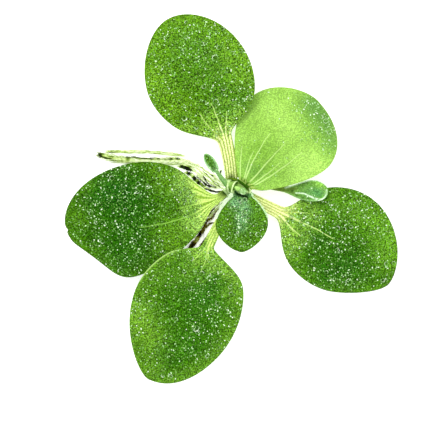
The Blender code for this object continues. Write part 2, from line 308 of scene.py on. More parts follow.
# Routes: x, y, height and radius. Spots: x, y, radius and strength of dark (or, if negative, pale) patches.
# Seams: lines through such spots, where old skin shows as a thin dark line or young skin as a pale one.
# Feather: the rootlets' number, shortest and longest, least and most lean from the strand in degrees,
# thickness, middle tone and its spread, and how many leave a side strand, as a share of the main one.
ROOTS = {
    "root_long": dict(
        routes=[
            [(-13.4, 7.0, 1.0, 0.45), (-16.5, 7.3, 1.05, 0.68), (-22.0, 7.2, 1.05, 0.75),
             (-29.5, 7.7, 0.9, 0.62), (-35.2, 9.0, 0.45, 0.2)],
            [(-3.5, 1.2, 1.2, 0.13), (-5.6, 3.1, 1.1, 0.18), (-8.2, 5.0, 1.2, 0.24),
             (-10.6, 6.5, 1.2, 0.26), (-14.5, 7.7, 1.2, 0.28), (-18.5, 7.7, 1.2, 0.2)],
            [(-3.5, 0.95, 1.0, 0.14), (-5.9, 2.3, 0.9, 0.2), (-8.6, 4.1, 0.95, 0.22),
             (-11.0, 5.9, 0.95, 0.28), (-14.3, 7.0, 1.0, 0.34), (-17.0, 7.2, 1.0, 0.2)],
            [(-3.6, 0.5, 0.8, 0.12), (-6.2, 1.5, 0.7, 0.16), (-9.1, 3.4, 0.7, 0.2), (-11.8, 5.5, 0.7, 0.28),
             (-14.2, 6.5, 0.9, 0.34), (-17.5, 6.6, 0.9, 0.28)],
        ],
        dark=[
            (-34.7, 8.9, 0.9, 0.6), (-33.4, 8.0, 0.6, 0.35), (-31.5, 7.3, 0.6, 0.3),
            (-31.0, 8.4, 3.0, 0.28), (-27.6, 8.0, 0.7, 0.4), (-23.6, 8.1, 0.3, 0.5),
            (-21.6, 7.95, 0.35, 0.6), (-16.9, 7.8, 0.4, 0.6), (-14.9, 8.0, 0.45, 0.7),
            (-14.0, 5.9, 0.5, 0.8), (-12.6, 5.5, 0.6, 0.9), (-9.0, 5.6, 0.4, 0.4), (-6.4, 3.6, 0.4, 0.6),
            (-7.2, 0.9, 0.35, 1.0),
        ],
        seams=[
            [(-29.0, 9.1, 0.2, 0.2), (-27.4, 8.6, 0.25, 0.35), (-25.6, 8.2, 0.25, 0.45),
             (-23.2, 7.95, 0.25, 0.5), (-19.0, 7.75, 0.22, 0.35), (-15.0, 7.9, 0.25, 0.5)],
            [(-34.0, 8.3, 0.2, 0.3), (-31.0, 7.4, 0.2, 0.3), (-27.5, 7.0, 0.2, 0.2)],
            [(-13.0, 7.0, 0.16, 0.35), (-10.8, 6.3, 0.16, 0.45), (-8.4, 4.8, 0.16, 0.4),
             (-6.4, 3.5, 0.16, 0.5)],
            [(-11.0, 5.4, 0.14, 0.5), (-8.6, 3.8, 0.14, 0.4), (-6.2, 2.3, 0.14, 0.5),
             (-4.6, 1.3, 0.14, 0.5)],
        ],
        feather=(470, (1.2, 4.4), (3.0, 22.0), 0.15, (0.84, 0.22), 0.03),
        strand_tone=0.82, slot="root_pale", seed=21,
    ),
    "root_upper_strand": dict(
        routes=[
            [(-13.2, 8.6, 0.5, 0.2), (-17.5, 9.1, 0.45, 0.26), (-22.0, 9.55, 0.45, 0.3),
             (-28.2, 9.7, 0.45, 0.36), (-33.0, 9.7, 0.25, 0.16)],
        ],
        dark=[(-31.5, 9.3, 1.4, 0.12)],
        seams=[[(-33.0, 9.5, 0.2, 0.15), (-29.5, 9.6, 0.2, 0.12), (-26.0, 9.5, 0.2, 0.05)]],
        feather=(190, (0.8, 3.6), (2.0, 12.0), 0.14, (0.64, 0.16), 1.0),
        strand_tone=0.7, slot="root_pale", seed=22,
    ),
    "root_short": dict(
        routes=[
            [(-3.6, -0.3, 0.6, 0.22), (-5.6, -0.4, 0.6, 0.24), (-7.6, 0.3, 0.55, 0.32),
             (-9.4, 1.6, 0.5, 0.42), (-11.2, 3.3, 0.5, 0.36), (-12.9, 4.7, 0.35, 0.15)],
            [(-3.4, 0.3, 1.2, 0.1), (-5.2, 0.7, 1.1, 0.14), (-7.0, 1.9, 1.0, 0.15), (-8.6, 3.2, 0.9, 0.14),
             (-10.2, 4.4, 1.0, 0.1)],
            [(-9.4, 4.4, 1.2, 0.1), (-8.4, 3.1, 1.1, 0.14), (-7.8, 1.9, 0.9, 0.15), (-6.6, 0.9, 0.8, 0.12),
             (-4.6, 0.4, 0.8, 0.1)],
            [(-6.2, 4.6, 0.9, 0.1), (-5.8, 3.3, 0.9, 0.13), (-5.4, 2.0, 0.8, 0.13), (-4.6, 1.0, 0.6, 0.1)],
            [(-11.6, 4.2, 0.5, 0.1), (-10.2, 3.4, 0.8, 0.14), (-8.8, 2.2, 0.8, 0.15),
             (-7.2, 1.0, 0.7, 0.12), (-5.4, 0.3, 0.7, 0.1)],
            [(-4.1, 5.1, 0.9, 0.12), (-4.35, 4.6, 0.9, 0.22), (-4.6, 3.8, 0.8, 0.1), (-4.2, 1.6, 0.8, 0.1)],
            [(-15.2, 6.1, 0.8, 0.15), (-13.8, 5.8, 0.8, 0.5), (-12.2, 5.3, 0.8, 0.5),
             (-11.0, 4.7, 0.7, 0.12)],
            [(-13.5, 4.5, 0.6, 0.12), (-12.4, 4.2, 0.6, 0.46), (-11.4, 3.8, 0.6, 0.12)],
            [(-11.9, 3.5, 0.5, 0.12), (-10.9, 2.8, 0.6, 0.42), (-9.9, 1.8, 0.6, 0.44),
             (-9.0, 1.1, 0.5, 0.12)],
            [(-10.6, 4.4, 0.9, 0.1), (-9.2, 2.7, 1.0, 0.16), (-7.9, 1.2, 0.9, 0.16), (-6.4, 0.5, 0.8, 0.1)],
            [(-9.0, 4.9, 1.0, 0.1), (-7.2, 3.3, 1.1, 0.16), (-5.8, 1.6, 1.0, 0.16), (-4.2, 0.6, 0.9, 0.1)],
        ],
        dark=[
            (-14.0, 5.9, 0.6, 0.8), (-12.9, 5.6, 0.7, 0.9), (-11.8, 5.1, 0.6, 0.7), (-12.4, 4.2, 0.6, 0.7),
            (-11.0, 2.9, 0.6, 1.0), (-9.9, 1.9, 0.5, 1.0), (-8.8, 1.2, 0.9, 0.4), (-7.2, 0.9, 0.4, 1.0),
            (-6.4, 3.6, 0.4, 0.6), (-5.8, 2.9, 0.3, 0.5), (-4.3, 4.6, 0.35, 1.0), (-8.4, 3.0, 0.5, 0.3),
        ],
        seams=[
            [(-8.2, 0.2, 0.22, 0.9), (-6.6, -0.2, 0.22, 0.9), (-5.0, -0.5, 0.22, 0.9),
             (-3.9, -0.5, 0.22, 0.8)],
            [(-8.6, 3.5, 0.18, 0.6), (-8.0, 2.3, 0.18, 0.7), (-7.2, 1.3, 0.18, 0.7), (-5.6, 0.7, 0.18, 0.6)],
            [(-10.2, 3.2, 0.18, 0.5), (-8.8, 2.0, 0.18, 0.6), (-7.2, 0.8, 0.18, 0.6)],
            [(-9.6, 5.4, 0.16, 0.3), (-7.6, 3.7, 0.16, 0.5), (-6.0, 1.9, 0.16, 0.5), (-4.4, 0.8, 0.16, 0.5)],
        ],
        feather=(90, (0.6, 2.2), (8.0, 50.0), 0.12, (0.66, 0.25), 0.3),
        strand_tone=0.78, slot="root_pale", seed=23,
    ),
    "root_dark": dict(
        routes=[
            [(-2.9, -2.4, 0.7, 0.15), (-4.7, -4.3, 0.8, 0.15), (-5.6, -5.7, 0.85, 0.16),
             (-6.5, -6.9, 0.85, 0.18), (-7.8, -8.0, 0.7, 0.26), (-8.6, -9.7, 0.7, 0.6),
             (-9.4, -11.1, 0.7, 0.42), (-10.5, -12.6, 0.7, 0.6), (-12.0, -14.6, 0.7, 0.66),
             (-14.2, -18.4, 0.6, 0.6), (-17.0, -24.0, 0.4, 0.25)],
            [(-3.6, -2.8, 0.5, 0.26), (-5.7, -5.05, 0.5, 0.27), (-7.1, -6.85, 0.5, 0.27),
             (-7.9, -8.0, 0.5, 0.2)],
            [(-5.9, -8.1, 0.6, 0.12), (-6.9, -8.4, 0.7, 0.2), (-8.2, -9.4, 0.7, 0.26)],
        ],
        dark=[
            (-8.5, -9.6, 0.5, -0.08), (-10.5, -12.4, 0.8, -0.2), (-9.5, -11.1, 0.6, 0.25),
            (-11.9, -14.0, 1.0, 0.2), (-3.0, -2.5, 0.9, -0.8),
        ],
        seams=[[(-3.6, -2.8, 0.28, -0.85), (-5.75, -5.05, 0.26, -0.85), (-7.15, -6.85, 0.26, -0.8)]],
        feather=(150, (0.5, 1.7), (10.0, 45.0), 0.12, (0.18, 0.16), 0.5),
        strand_tone=0.2, slot="root_dark", seed=24,
    ),
    "root_thin_left": dict(
        routes=[
            [(-4.5, -3.0, 0.5, 0.15), (-6.4, -5.1, 0.4, 0.17), (-8.9, -8.2, 0.4, 0.17),
             (-13.0, -12.4, 0.3, 0.12)],
        ],
        dark=[(-4.6, -3.1, 0.9, -0.8), (-5.5, -4.1, 0.6, -0.6)],
        seams=[],
        feather=(36, (0.4, 1.2), (15.0, 50.0), 0.09, (0.15, 0.15), 1.0),
        strand_tone=0.12, slot="root_dark", seed=25,
    ),
    "root_thin_right": dict(
        routes=[
            [(-6.9, -10.3, 0.4, 0.14), (-8.3, -12.4, 0.4, 0.17), (-10.0, -14.8, 0.4, 0.17),
             (-12.0, -18.2, 0.3, 0.12)],
        ],
        dark=[],
        seams=[],
        feather=(36, (0.4, 1.2), (15.0, 50.0), 0.09, (0.15, 0.15), 1.0),
        strand_tone=0.12, slot="root_dark", seed=26,
    ),
}


def strands_laid(name, routes, rng):
    """Round strands along their routes, with the small kinks and swellings of real roots, as one mesh."""
    bpy.ops.object.select_all(action="DESELECT")
    curve = bpy.data.curves.new(name, "CURVE")
    curve.dimensions = "3D"
    curve.bevel_depth = MM
    curve.bevel_resolution = 2
    curve.use_fill_caps = True
    for points in routes:
        route = smooth_route(points, ROOT_STEPS)
        kinks = rng.normal(0.0, KINK, (len(route), 3)) * (1.0, 1.0, KINK_UPWARDS)
        swelling = np.clip(rng.normal(1.0, SWELLING, len(route)), *SWELLING_LIMITS)
        spline = curve.splines.new("POLY")
        spline.points.add(len(route) - 1)
        for spot, (x, y, z, radius), kink, swell in zip(spline.points, route, kinks, swelling):
            spot.co = ((x + kink[0]) * MM, (y + kink[1]) * MM, (z + kink[2]) * MM, 1.0)
            spot.radius = radius * swell
    obj = bpy.data.objects.new(name, curve)
    bpy.context.scene.collection.objects.link(obj)
    bpy.context.view_layer.objects.active = obj
    obj.select_set(True)
    bpy.ops.object.convert(target="MESH")
    obj = bpy.context.object
    obj.data.name = name
    bpy.ops.object.mode_set(mode="EDIT")
    bpy.ops.mesh.select_all(action="SELECT")
    bpy.ops.mesh.remove_doubles(threshold=MERGE_DISTANCE * MM)
    bpy.ops.object.mode_set(mode="OBJECT")
    finer = obj.modifiers.new("finer", "SUBSURF")
    finer.levels = 1
    finer.render_levels = 1
    bpy.ops.object.modifier_apply(modifier=finer.name)
    bpy.ops.object.shade_smooth()
    points = mesh_points(obj.data)
    points[:, 2] = np.maximum(points[:, 2], SURFACE_CLEARANCE * MM)
    set_points(obj.data, points)
    return obj


def template_of(obj):
    """The points and triangles of an object that is modelled once, which is then removed."""
    obj.data.calc_loop_triangles()
    points = mesh_points(obj.data)
    triangles = np.array([t.vertices for t in obj.data.loop_triangles])
    bpy.data.objects.remove(obj)
    return points, triangles


def copies_joined(name, placed, triangles, tones):
    """One mesh of copies whose points are given in millimetres, with a tone for each copy or each point."""
    count, size = placed.shape[:2]
    faces = triangles[None] + (np.arange(count) * size)[:, None, None]
    mesh = bpy.data.meshes.new(name)
    mesh.from_pydata((placed.reshape(-1, 3) * MM).tolist(), [], faces.reshape(-1, 3).tolist())
    if tones.ndim == 1:
        tones = tones[:, None]
    add_attribute(mesh, "tone", np.broadcast_to(tones, (count, size)).ravel())
    obj = bpy.data.objects.new(name, mesh)
    bpy.context.scene.collection.objects.link(obj)
    return obj


# One rootlet, a tapered four-sided stick of unit length with cuts where it can bend.
bpy.ops.object.select_all(action="DESELECT")
bpy.ops.mesh.primitive_cone_add(vertices=4, radius1=0.5, radius2=0.15, depth=1.0, location=(0.0, 0.0, 0.0))
stick = bpy.context.object
bpy.ops.object.mode_set(mode="EDIT")
for height in (-0.25, 0.0, 0.25):
    bpy.ops.mesh.select_all(action="SELECT")
    bpy.ops.mesh.bisect(plane_co=(0.0, 0.0, height), plane_no=(0.0, 0.0, 1.0))
bpy.ops.object.mode_set(mode="OBJECT")
rootlet_points, rootlet_triangles = template_of(stick)
rootlet_points[:, 2] += 0.5


def rootlets_laid(name, root, rng):
    """Fine rootlets that leave the strands on both sides, trail towards the tip and sink to the surface."""
    count, (shortest, longest), leans, thickness, (middle, spread), side_share = root["feather"]
    shares = np.array([len(route) for route in root["routes"]], dtype=float)
    shares[1:] *= side_share
    which = rng.choice(len(shares), count, p=shares / shares.sum())
    starts = np.zeros((count, 3))
    forward = np.zeros((count, 3))
    radii = np.zeros(count)
    room = np.zeros(count)
    for number, points in enumerate(root["routes"]):
        route = smooth_route(points, ROOT_STEPS)
        here = which == number
        at = rng.integers(1, len(route) - 3, here.sum())
        starts[here] = route[at, :3]
        room[here] = np.linalg.norm(route[-1, :3] - route[at, :3], axis=1) + PAST_TIP
        forward[here] = route[at + 2, :3] - route[at, :3]
        radii[here] = route[at, 3]
    forward /= np.linalg.norm(forward, axis=1)[:, None]
    sideways = np.stack([-forward[:, 1], forward[:, 0], np.zeros(count)], axis=1)
    side = rng.choice((-1.0, 1.0), count)
    lean = np.radians(rng.uniform(*leans, count))
    lengths = shortest + (longest - shortest) * rng.power(LENGTH_POWER, count)
    lengths = np.minimum(lengths, room)
    starts += (side * rng.uniform(*START_OUT, count))[:, None] * sideways * radii[:, None]
    starts[:, 2] += radii * rng.uniform(*START_UP, count)
    onwards = forward * np.cos(lean)[:, None] + sideways * (side * np.sin(lean))[:, None]
    bends = -sideways * (side * np.sin(lean) * lengths * rng.uniform(*CURL_BACK, count))[:, None]
    bends[:, 2] -= rng.uniform(*SINK, count)
    across = np.cross(onwards, (0.0, 0.0, 1.0))
    across /= np.linalg.norm(across, axis=1)[:, None]
    up = np.cross(across, onwards)
    along = rootlet_points[:, 2]
    widths = thickness * rng.uniform(*ROOTLET_WIDTHS, count)
    placed = starts[:, None] + onwards[:, None] * (lengths[:, None] * along)[..., None]
    placed += bends[:, None] * (along**2)[None, :, None]
    placed += across[:, None] * (widths[:, None] * rootlet_points[:, 0])[..., None]
    placed += up[:, None] * (widths[:, None] * rootlet_points[:, 1])[..., None]
    low = SURFACE_CLEARANCE + FLATTENED * widths[:, None] * (rootlet_points[:, 1] + 0.5)
    placed[..., 2] = np.maximum(placed[..., 2], low)
    return copies_joined(name, placed, rootlet_triangles, rng.normal(middle, spread, count))


# Root tissue: dull and fibrous. Fresh roots are cream to pale green and have dark green seams, and old roots
# are olive to nearly black. The colour changes every millimetre or so along a strand.
ROOT_RAMPS = {
    "root_pale": [
        (0.0, "0e1204"), (0.16, "2c420a"), (0.34, "68862a"), (0.52, "b4cc6c"), (0.72, "deeeac"),
        (1.0, "f6fce0"),
    ],
    "root_dark": [
        (0.0, "140e02"), (0.16, "54460a"), (0.34, "8a842c"), (0.52, "c2ca70"), (0.72, "e4efb0"),
        (1.0, "f8fce0"),
    ],
}
BLOTCH_SPACING = 0.9
BLOTCH_STRENGTH = 0.4
ROOT_GRAIN_SPACING = 0.3


def root_tissue(name, ramp):
    material = new_material(name)
    shader = material.node_tree.nodes["Principled BSDF"]
    place = add_node(material, "TexCoord", output="Object")
    blotch, grain = (
        add_node(
            material, "TexNoise",
            {"Vector": place, "Scale": 1 / (spacing * MM), "Detail": 2.0, "Roughness": roughness},
        )
        for spacing, roughness in ((BLOTCH_SPACING, 0.6), (ROOT_GRAIN_SPACING, 0.7))
    )
    blotch = add_node(material, "MapRange", (blotch, 0.0, 1.0, -BLOTCH_STRENGTH, BLOTCH_STRENGTH))
    tone = add_node(material, "Attribute", output="Fac", attribute_name="tone")
    age = add_node(material, "Math", (tone, blotch), operation="ADD", use_clamp=True)
    tones = add_node(material, "ValToRGB", (age,))
    elements = tones.node.color_ramp.elements
    elements[0].color = linear(ramp[0][1])
    elements[1].color = linear(ramp[-1][1])
    for position, hex_colour in ramp[1:-1]:
        elements.new(position).color = linear(hex_colour)
    material.node_tree.links.new(tones, shader.inputs["Base Color"])
    bump = add_node(material, "Bump", {"Strength": 0.6, "Distance": 0.1 * MM, "Height": grain})
    material.node_tree.links.new(bump, shader.inputs["Normal"])
    shader.inputs["Roughness"].default_value = 0.6
    shader.inputs["Specular IOR Level"].default_value = 0.05
    return material


root_tissues = {slot: root_tissue(slot + "_tissue", ramp) for slot, ramp in ROOT_RAMPS.items()}

for name, root in ROOTS.items():
    rng = np.random.default_rng(root["seed"])
    dark = root["dark"] + [spot for seam in root["seams"] for spot in smooth_route(seam, SEAM_STEPS)]
    strands = strands_laid(name + "_strands", root["routes"], rng)
    add_attribute(strands.data, "tone", np.full(len(strands.data.vertices), root["strand_tone"]))
    feather = rootlets_laid(name + "_rootlets", root, rng)
    for obj in (strands, feather):
        tone = obj.data.attributes["tone"].data
        tones = np.zeros(len(tone))
        tone.foreach_get("value", tones)
        tone.foreach_set("value", tones - soft_spots(mesh_points(obj.data) / MM, dark))
        obj.data.materials.append(root_tissues[root["slot"]])
        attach(obj, "root")
    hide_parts(name)


# ---------------------------------------------------------------------------------------------------
# Large leaves. Each is one spongy leaf of living tissue, pale and ribbed in its short stalk and green in
# the blade. The sheet is cupped across, thickened downwards and stiffened by a fan of ribs underneath.
# ---------------------------------------------------------------------------------------------------
BLADE_THICKNESS = 0.95
MARGIN_THICKNESS = 0.45
STALK_THICKNESS = 1.9
STALK_MARGIN_THICKNESS = 1.0
STALK_FADES_AT = 0.45
UNDER_RIB_DEPTH = 0.5
UNDER_RIBS = 3.5  # ribs on each side of the middle one
DEEPEST = STALK_THICKNESS + UNDER_RIB_DEPTH
SHOULDER_SHARE = 0.9
TIP_ROW_BEND = 2.2
TOP_RIB_HEIGHT = 0.16
TOP_RIB_WIDTH = 0.34
LINE_STEPS = 14
MARK_SHADE_RADIUS = 0.42  # as a share of the size of the whorl that stands on it
LARGE_CELLS = (96, 110)

# What a leaf is unless its own entry says otherwise. The last four say how its tufts of hair are spread.
PLAIN_LEAF = dict(
    s_bend=0.0, thickness=1.0, nicks=[], pale=[], dark=[], lines=[], shaded=0.6,
    scattered=0.4, clumped=0.6, at_sheen_and_shade=0.4, least_tone=0.0,
)

# Shapes as seen from above, then marks: veins (their far ends), nicks (x, y, radius, depth), spots (x, y,
# radius, strength) of paler tissue that is partly painted highlight, of painted sheen and shade, and of
# painted shade, and the bigger whorls of hair (x, y, size).
LARGE_LEAVES = {
    "leaf_upper": dict(
        PLAIN_LEAF, base=(-1.7, 2.9), tip=(-18.2, 42.6), bow=-2.9, s_bend=-0.3, stalk=(1.45, 3.0),
        left=(13.5, 0.17, 1.09, 0.53), right=(12.6, 0.21, 1.04, 0.49), flare=0.12,
        heights=(3.6, 6.5, 15.5, 11.0, 0.5), cup=(6.0, 8.0), wave=(0.35, 2.0), seed=3,
        veins=[(-9.8, 19.0), (-6.6, 21.5), (-3.0, 19.5), (-0.6, 17.0), (1.2, 15.6)],
        pale=[
            (-21.5, 27.0, 5.0, 0.8), (-14.0, 40.0, 7.0, 0.5), (-2.5, 33.0, 5.0, 0.7),
            (-18.0, 19.0, 5.0, 0.5), (-3.5, 38.0, 4.0, 0.5), (1.4, 27.5, 4.0, 0.9), (-11.5, 20.5, 4.0, 0.3),
            (0.5, 33.0, 3.0, 0.8),
        ],
        sheen_and_shade=[
            (-1.5, 21.0, 6.0, 0.8), (-7.0, 31.0, 6.0, 0.7), (-13.0, 36.5, 5.0, 0.5),
            (-14.5, 27.0, 3.0, 0.4),
        ],
        dark=[(-1.7, 3.0, 0.9, 0.9)],
        marks=[
            (-4.85, 35.4, 1.2), (-5.55, 32.8, 1.8), (-1.4, 34.0, 1.0), (0.6, 34.5, 1.0), (-3.5, 25.1, 1.1),
            (-5.55, 21.8, 1.5), (-13.4, 17.8, 1.4), (-10.4, 15.5, 1.0), (-12.95, 38.05, 1.1),
            (-12.95, 42.0, 0.9), (-3.9, 40.1, 1.0), (-8.55, 25.6, 1.1), (-9.0, 36.5, 1.0),
            (-14.0, 34.5, 0.9), (-17.0, 31.0, 0.9),
        ],
        tufts=2600, whorls=40,
    ),
    "leaf_right": dict(
        PLAIN_LEAF, base=(3.1, -1.9), tip=(37.7, -23.8), bow=1.8, s_bend=-0.4, stalk=(1.3, 3.0),
        left=(14.0, 0.16, 1.09, 0.66), right=(11.9, 0.15, 1.02, 0.61), flare=0.13,
        heights=(3.4, 4.2, 6.5, 5.5, 0.5), cup=(-7.0, 6.0), wave=(0.35, 2.5), seed=5,
        veins=[(17.3, -5.6), (23.8, -12.2), (15.6, -11.3), (15.8, -7.6), (14.0, -10.6)],
        nicks=[(36.9, -22.8, 0.9, 0.9)],
        pale=[
            (38.0, -13.0, 5.0, 1.0), (22.0, -2.5, 5.0, 0.5), (14.0, -17.0, 4.0, 0.4),
            (38.0, -18.0, 4.0, 0.8), (13.5, -6.5, 3.0, 0.7), (29.5, -5.0, 4.5, 0.7), (36.0, -7.5, 4.5, 0.8),
        ],
        sheen_and_shade=[
            (27.0, -19.0, 6.0, 0.8), (33.0, -11.5, 2.5, 0.2), (19.0, -13.0, 4.0, 0.5),
            (21.5, -22.0, 3.0, 0.7), (18.0, -6.0, 3.0, 0.5),
        ],
        marks=[
            (27.7, -23.0, 1.8), (36.25, -22.65, 1.1), (37.1, -18.6, 1.1), (39.0, -18.25, 1.0),
            (24.8, -15.1, 1.2), (25.0, -9.4, 1.2), (26.5, -9.75, 1.1), (28.25, -9.15, 1.1),
            (28.15, -4.6, 1.0), (19.75, -7.0, 1.1), (15.8, -7.95, 1.1), (13.4, -7.1, 1.5),
            (18.8, -12.15, 1.0), (22.0, -20.5, 1.0), (31.5, -13.0, 1.0),
        ],
        tufts=2600, whorls=36,
    ),
    "leaf_lower": dict(
        PLAIN_LEAF, base=(-1.8, -2.9), tip=(-22.5, -47.5), bow=-0.6, s_bend=-0.1, stalk=(0.9, 3.0),
        left=(15.0, 0.23, 0.89, 0.43), right=(11.6, 0.24, 0.91, 0.69), flare=0.08,
        heights=(3.4, 6.0, 10.5, 8.0, 0.5), cup=(6.0, 7.0), wave=(0.35, 2.0), seed=7,
        veins=[(-7.6, -18.0), (-9.2, -20.5), (-11.5, -18.0), (-5.0, -17.5)],
        pale=[
            (-26.0, -31.0, 5.0, 0.9), (0.0, -26.0, 4.0, 0.6), (-22.0, -20.0, 5.0, 0.4),
            (-22.0, -45.0, 4.0, 0.5), (-12.0, -21.0, 3.5, 0.5), (-21.5, -37.5, 4.0, 0.6),
            (-4.5, -16.5, 2.0, 0.6),
        ],
        sheen_and_shade=[(-9.0, -26.0, 6.5, 0.9), (-12.0, -38.0, 4.0, 0.6), (-18.0, -41.0, 4.0, 0.4)],
        marks=[
            (-1.8, -24.2, 1.1), (-1.7, -25.95, 1.1), (-10.5, -34.6, 1.7), (-10.1, -35.4, 1.2),
            (-15.4, -32.2, 1.1), (-12.0, -24.6, 1.2), (-7.65, -41.5, 1.0), (-16.85, -46.6, 1.0),
            (-18.9, -46.4, 1.0), (-8.9, -20.75, 1.2), (-21.75, -22.0, 1.0), (-11.7, -17.1, 1.2),
            (-5.2, -28.25, 1.1), (-13.5, -20.25, 1.1),
        ],
        lines=[
            [(-14.4, -14.75, 0.24, 0.2), (-16.1, -15.15, 0.28, 0.35), (-18.25, -16.2, 0.28, 0.35),
             (-20.0, -17.4, 0.28, 0.35), (-21.4, -18.6, 0.28, 0.35), (-22.6, -19.85, 0.28, 0.35),
             (-23.55, -21.1, 0.26, 0.3), (-24.5, -22.6, 0.24, 0.2)],
        ],
        tufts=2600, whorls=34,
    ),
    "leaf_left": dict(
        PLAIN_LEAF, base=(-3.3, -0.7), tip=(-41.7, -12.7), bow=0.69, s_bend=1.61, stalk=(0.95, 3.0),
        left=(13.7, 0.04, 1.51, 0.72), right=(14.3, 0.01, 1.09, 0.45), flare=0.10,
        heights=(3.4, 4.6, 6.0, 5.0, 0.5), cup=(2.0, 5.0), wave=(0.3, 2.0), seed=9,
        veins=[(-15.0, -4.5), (-25.0, -9.3), (-14.0, -9.0), (-12.8, -1.6), (-11.0, -10.5), (-15.5, 1.2)],
        nicks=[(-43.0, -9.7, 0.8, 0.7)],
        pale=[
            (-40.0, -6.5, 4.0, 0.6), (-11.0, -4.5, 5.0, 0.9), (-11.0, -12.0, 4.0, 0.9),
            (-38.5, 1.5, 3.0, 0.9), (-8.0, -2.5, 4.0, 0.8), (-18.5, 2.0, 4.5, 0.8), (-18.5, -9.5, 4.0, 0.6),
            (-16.0, -15.0, 5.0, 0.9), (-20.5, 6.6, 2.2, 1.0), (-17.0, 5.2, 2.2, 1.0),
            (-14.0, 3.6, 2.2, 1.0),
        ],
        sheen_and_shade=[
            (-31.0, 1.5, 6.5, 0.9), (-36.5, -3.0, 3.5, 0.5), (-30.0, -18.0, 5.0, 0.5),
            (-26.0, -7.0, 7.0, 0.4),
        ],
        dark=[(-3.0, -0.8, 1.1, 0.9), (-4.3, -0.5, 1.1, 0.5)],
        marks=[
            (-36.7, -5.9, 1.1), (-35.4, -8.1, 1.1), (-31.5, 3.0, 1.3), (-22.6, 0.9, 1.2),
            (-25.25, -0.3, 1.2), (-25.1, 1.6, 1.1), (-28.2, -5.1, 1.1), (-25.95, -12.75, 1.1),
            (-22.45, -13.0, 1.1), (-19.4, -12.2, 1.0), (-33.9, -12.9, 1.1), (-19.95, 5.1, 1.0),
            (-29.0, -10.0, 1.0), (-13.3, 0.3, 0.8), (-12.0, -0.4, 0.7), (-12.6, -1.4, 0.8),
            (-11.0, -1.2, 0.7), (-10.6, -2.6, 0.7), (-11.8, -3.2, 0.7), (-13.4, -2.6, 0.8),
            (-9.6, -4.0, 0.7), (-10.8, -5.4, 0.7), (-14.6, -0.6, 0.8), (-12.2, -6.4, 0.7),
            (-9.0, -1.4, 0.6),
        ],
        tufts=2600, whorls=20,
    ),
}


def pulled(values, t):
    """The smooth curve that starts and ends at the outer values and is pulled by the others, at t."""
    values = list(values)
    while len(values) > 1:
        values = [a + (b - a) * t for a, b in zip(values, values[1:])]
    return values[0]


def half_width(leaf, side, t):
    """Half width of stalk and blade together, in millimetres, on the left (-1) or the right (1)."""
    widest, start, place, bluntness = leaf["right"] if side > 0 else leaf["left"]
    stalk = pulled(leaf["stalk"], t) * np.sqrt(np.clip(1.0 - t**4, 0.0, None))
    s = np.clip((t - start) / (1.0 - start), 0.0, 1.0)
    opening = 1.0 - np.exp(-((s / leaf["flare"]) ** 2))
    blade = widest * opening * np.clip(np.sin(np.pi * s**place), 0.0, None) ** bluntness
    return np.hypot(stalk, blade)


def narrows_to(leaf, side, width, low):
    """Places beyond low where the half width has fallen to the given widths."""
    low = np.full_like(width, low)
    high = np.ones_like(width)
    for _ in range(30):
        middle = (low + high) / 2
        wide = half_width(leaf, side, middle) > width
        low = np.where(wide, middle, low)
        high = np.where(wide, high, middle)
    return low


def midline(leaf, t):
    """Points of the midline seen from above."""
    base, tip = np.array(leaf["base"]), np.array(leaf["tip"])
    chord = tip - base
    left = np.array([-chord[1], chord[0]]) / np.hypot(*chord)
    bend = t * (1.0 - t) * (4.0 * leaf["bow"] + 10.0 * leaf["s_bend"] * (1.0 - 2.0 * t))
    return base + chord * t[:, None] + left * bend[:, None]


def leaf_sheet(leaf, across, along):
    """Points of the upper side, with each one's share of the half width and that half width."""
    points = np.zeros((len(across), 3))
    shares = np.sin(np.pi / 2 * across)
    halves = np.zeros(len(across))
    for side in (-1, 1):
        here = across > 0 if side > 0 else across <= 0
        share = np.abs(shares[here])
        places = np.linspace(0.0, 0.995, 200)
        widths = half_width(leaf, side, places)
        turn_width = SHOULDER_SHARE * widths.max()
        turn = narrows_to(leaf, side, np.array([turn_width]), places[widths.argmax()])[0]
        end = narrows_to(leaf, side, share * turn_width, turn)
        t = along[here] - (1.0 - end) * along[here] ** TIP_ROW_BEND
        width = np.where(t < turn, half_width(leaf, side, t), turn_width)
        direction = midline(leaf, t + 0.001) - midline(leaf, t - 0.001)
        direction /= np.linalg.norm(direction, axis=1)[:, None]
        outwards = np.stack([direction[:, 1], -direction[:, 0]], axis=1) * side
        cup = math.radians(leaf["cup"][1] if side > 0 else leaf["cup"][0])
        turned_up = width * (1.0 - np.sqrt(1.0 - (share * math.sin(cup)) ** 2)) / math.sin(cup)
        height, count = leaf["wave"]
        wave = height * share**3 * np.sin(2 * np.pi * (count * t + 0.25 * side)) * width / turn_width
        points[here, :2] = midline(leaf, t) + outwards * (share * width)[:, None]
        points[here, 2] = pulled(leaf["heights"], t) + turned_up + wave
        halves[here] = width
    return points, shares, halves


def leaf_thickness(leaf, across, along):
    """Thickness in millimetres: deep along the stalk, thin at the margin, with rounded ribs underneath."""
    inside = np.cos(np.pi / 2 * across) * (1.0 - along**6)
    stalky = np.clip(1.0 - along / STALK_FADES_AT, 0.0, None)
    middle = BLADE_THICKNESS + (STALK_THICKNESS - BLADE_THICKNESS) * stalky
    margin = MARGIN_THICKNESS + (STALK_MARGIN_THICKNESS - MARGIN_THICKNESS) * stalky
    crest = np.cos(np.pi * across * UNDER_RIBS) ** 2
    rib = UNDER_RIB_DEPTH * (1.0 - along**2) * inside * crest**2
    return leaf["thickness"] * (margin + (middle - margin) * inside + rib)


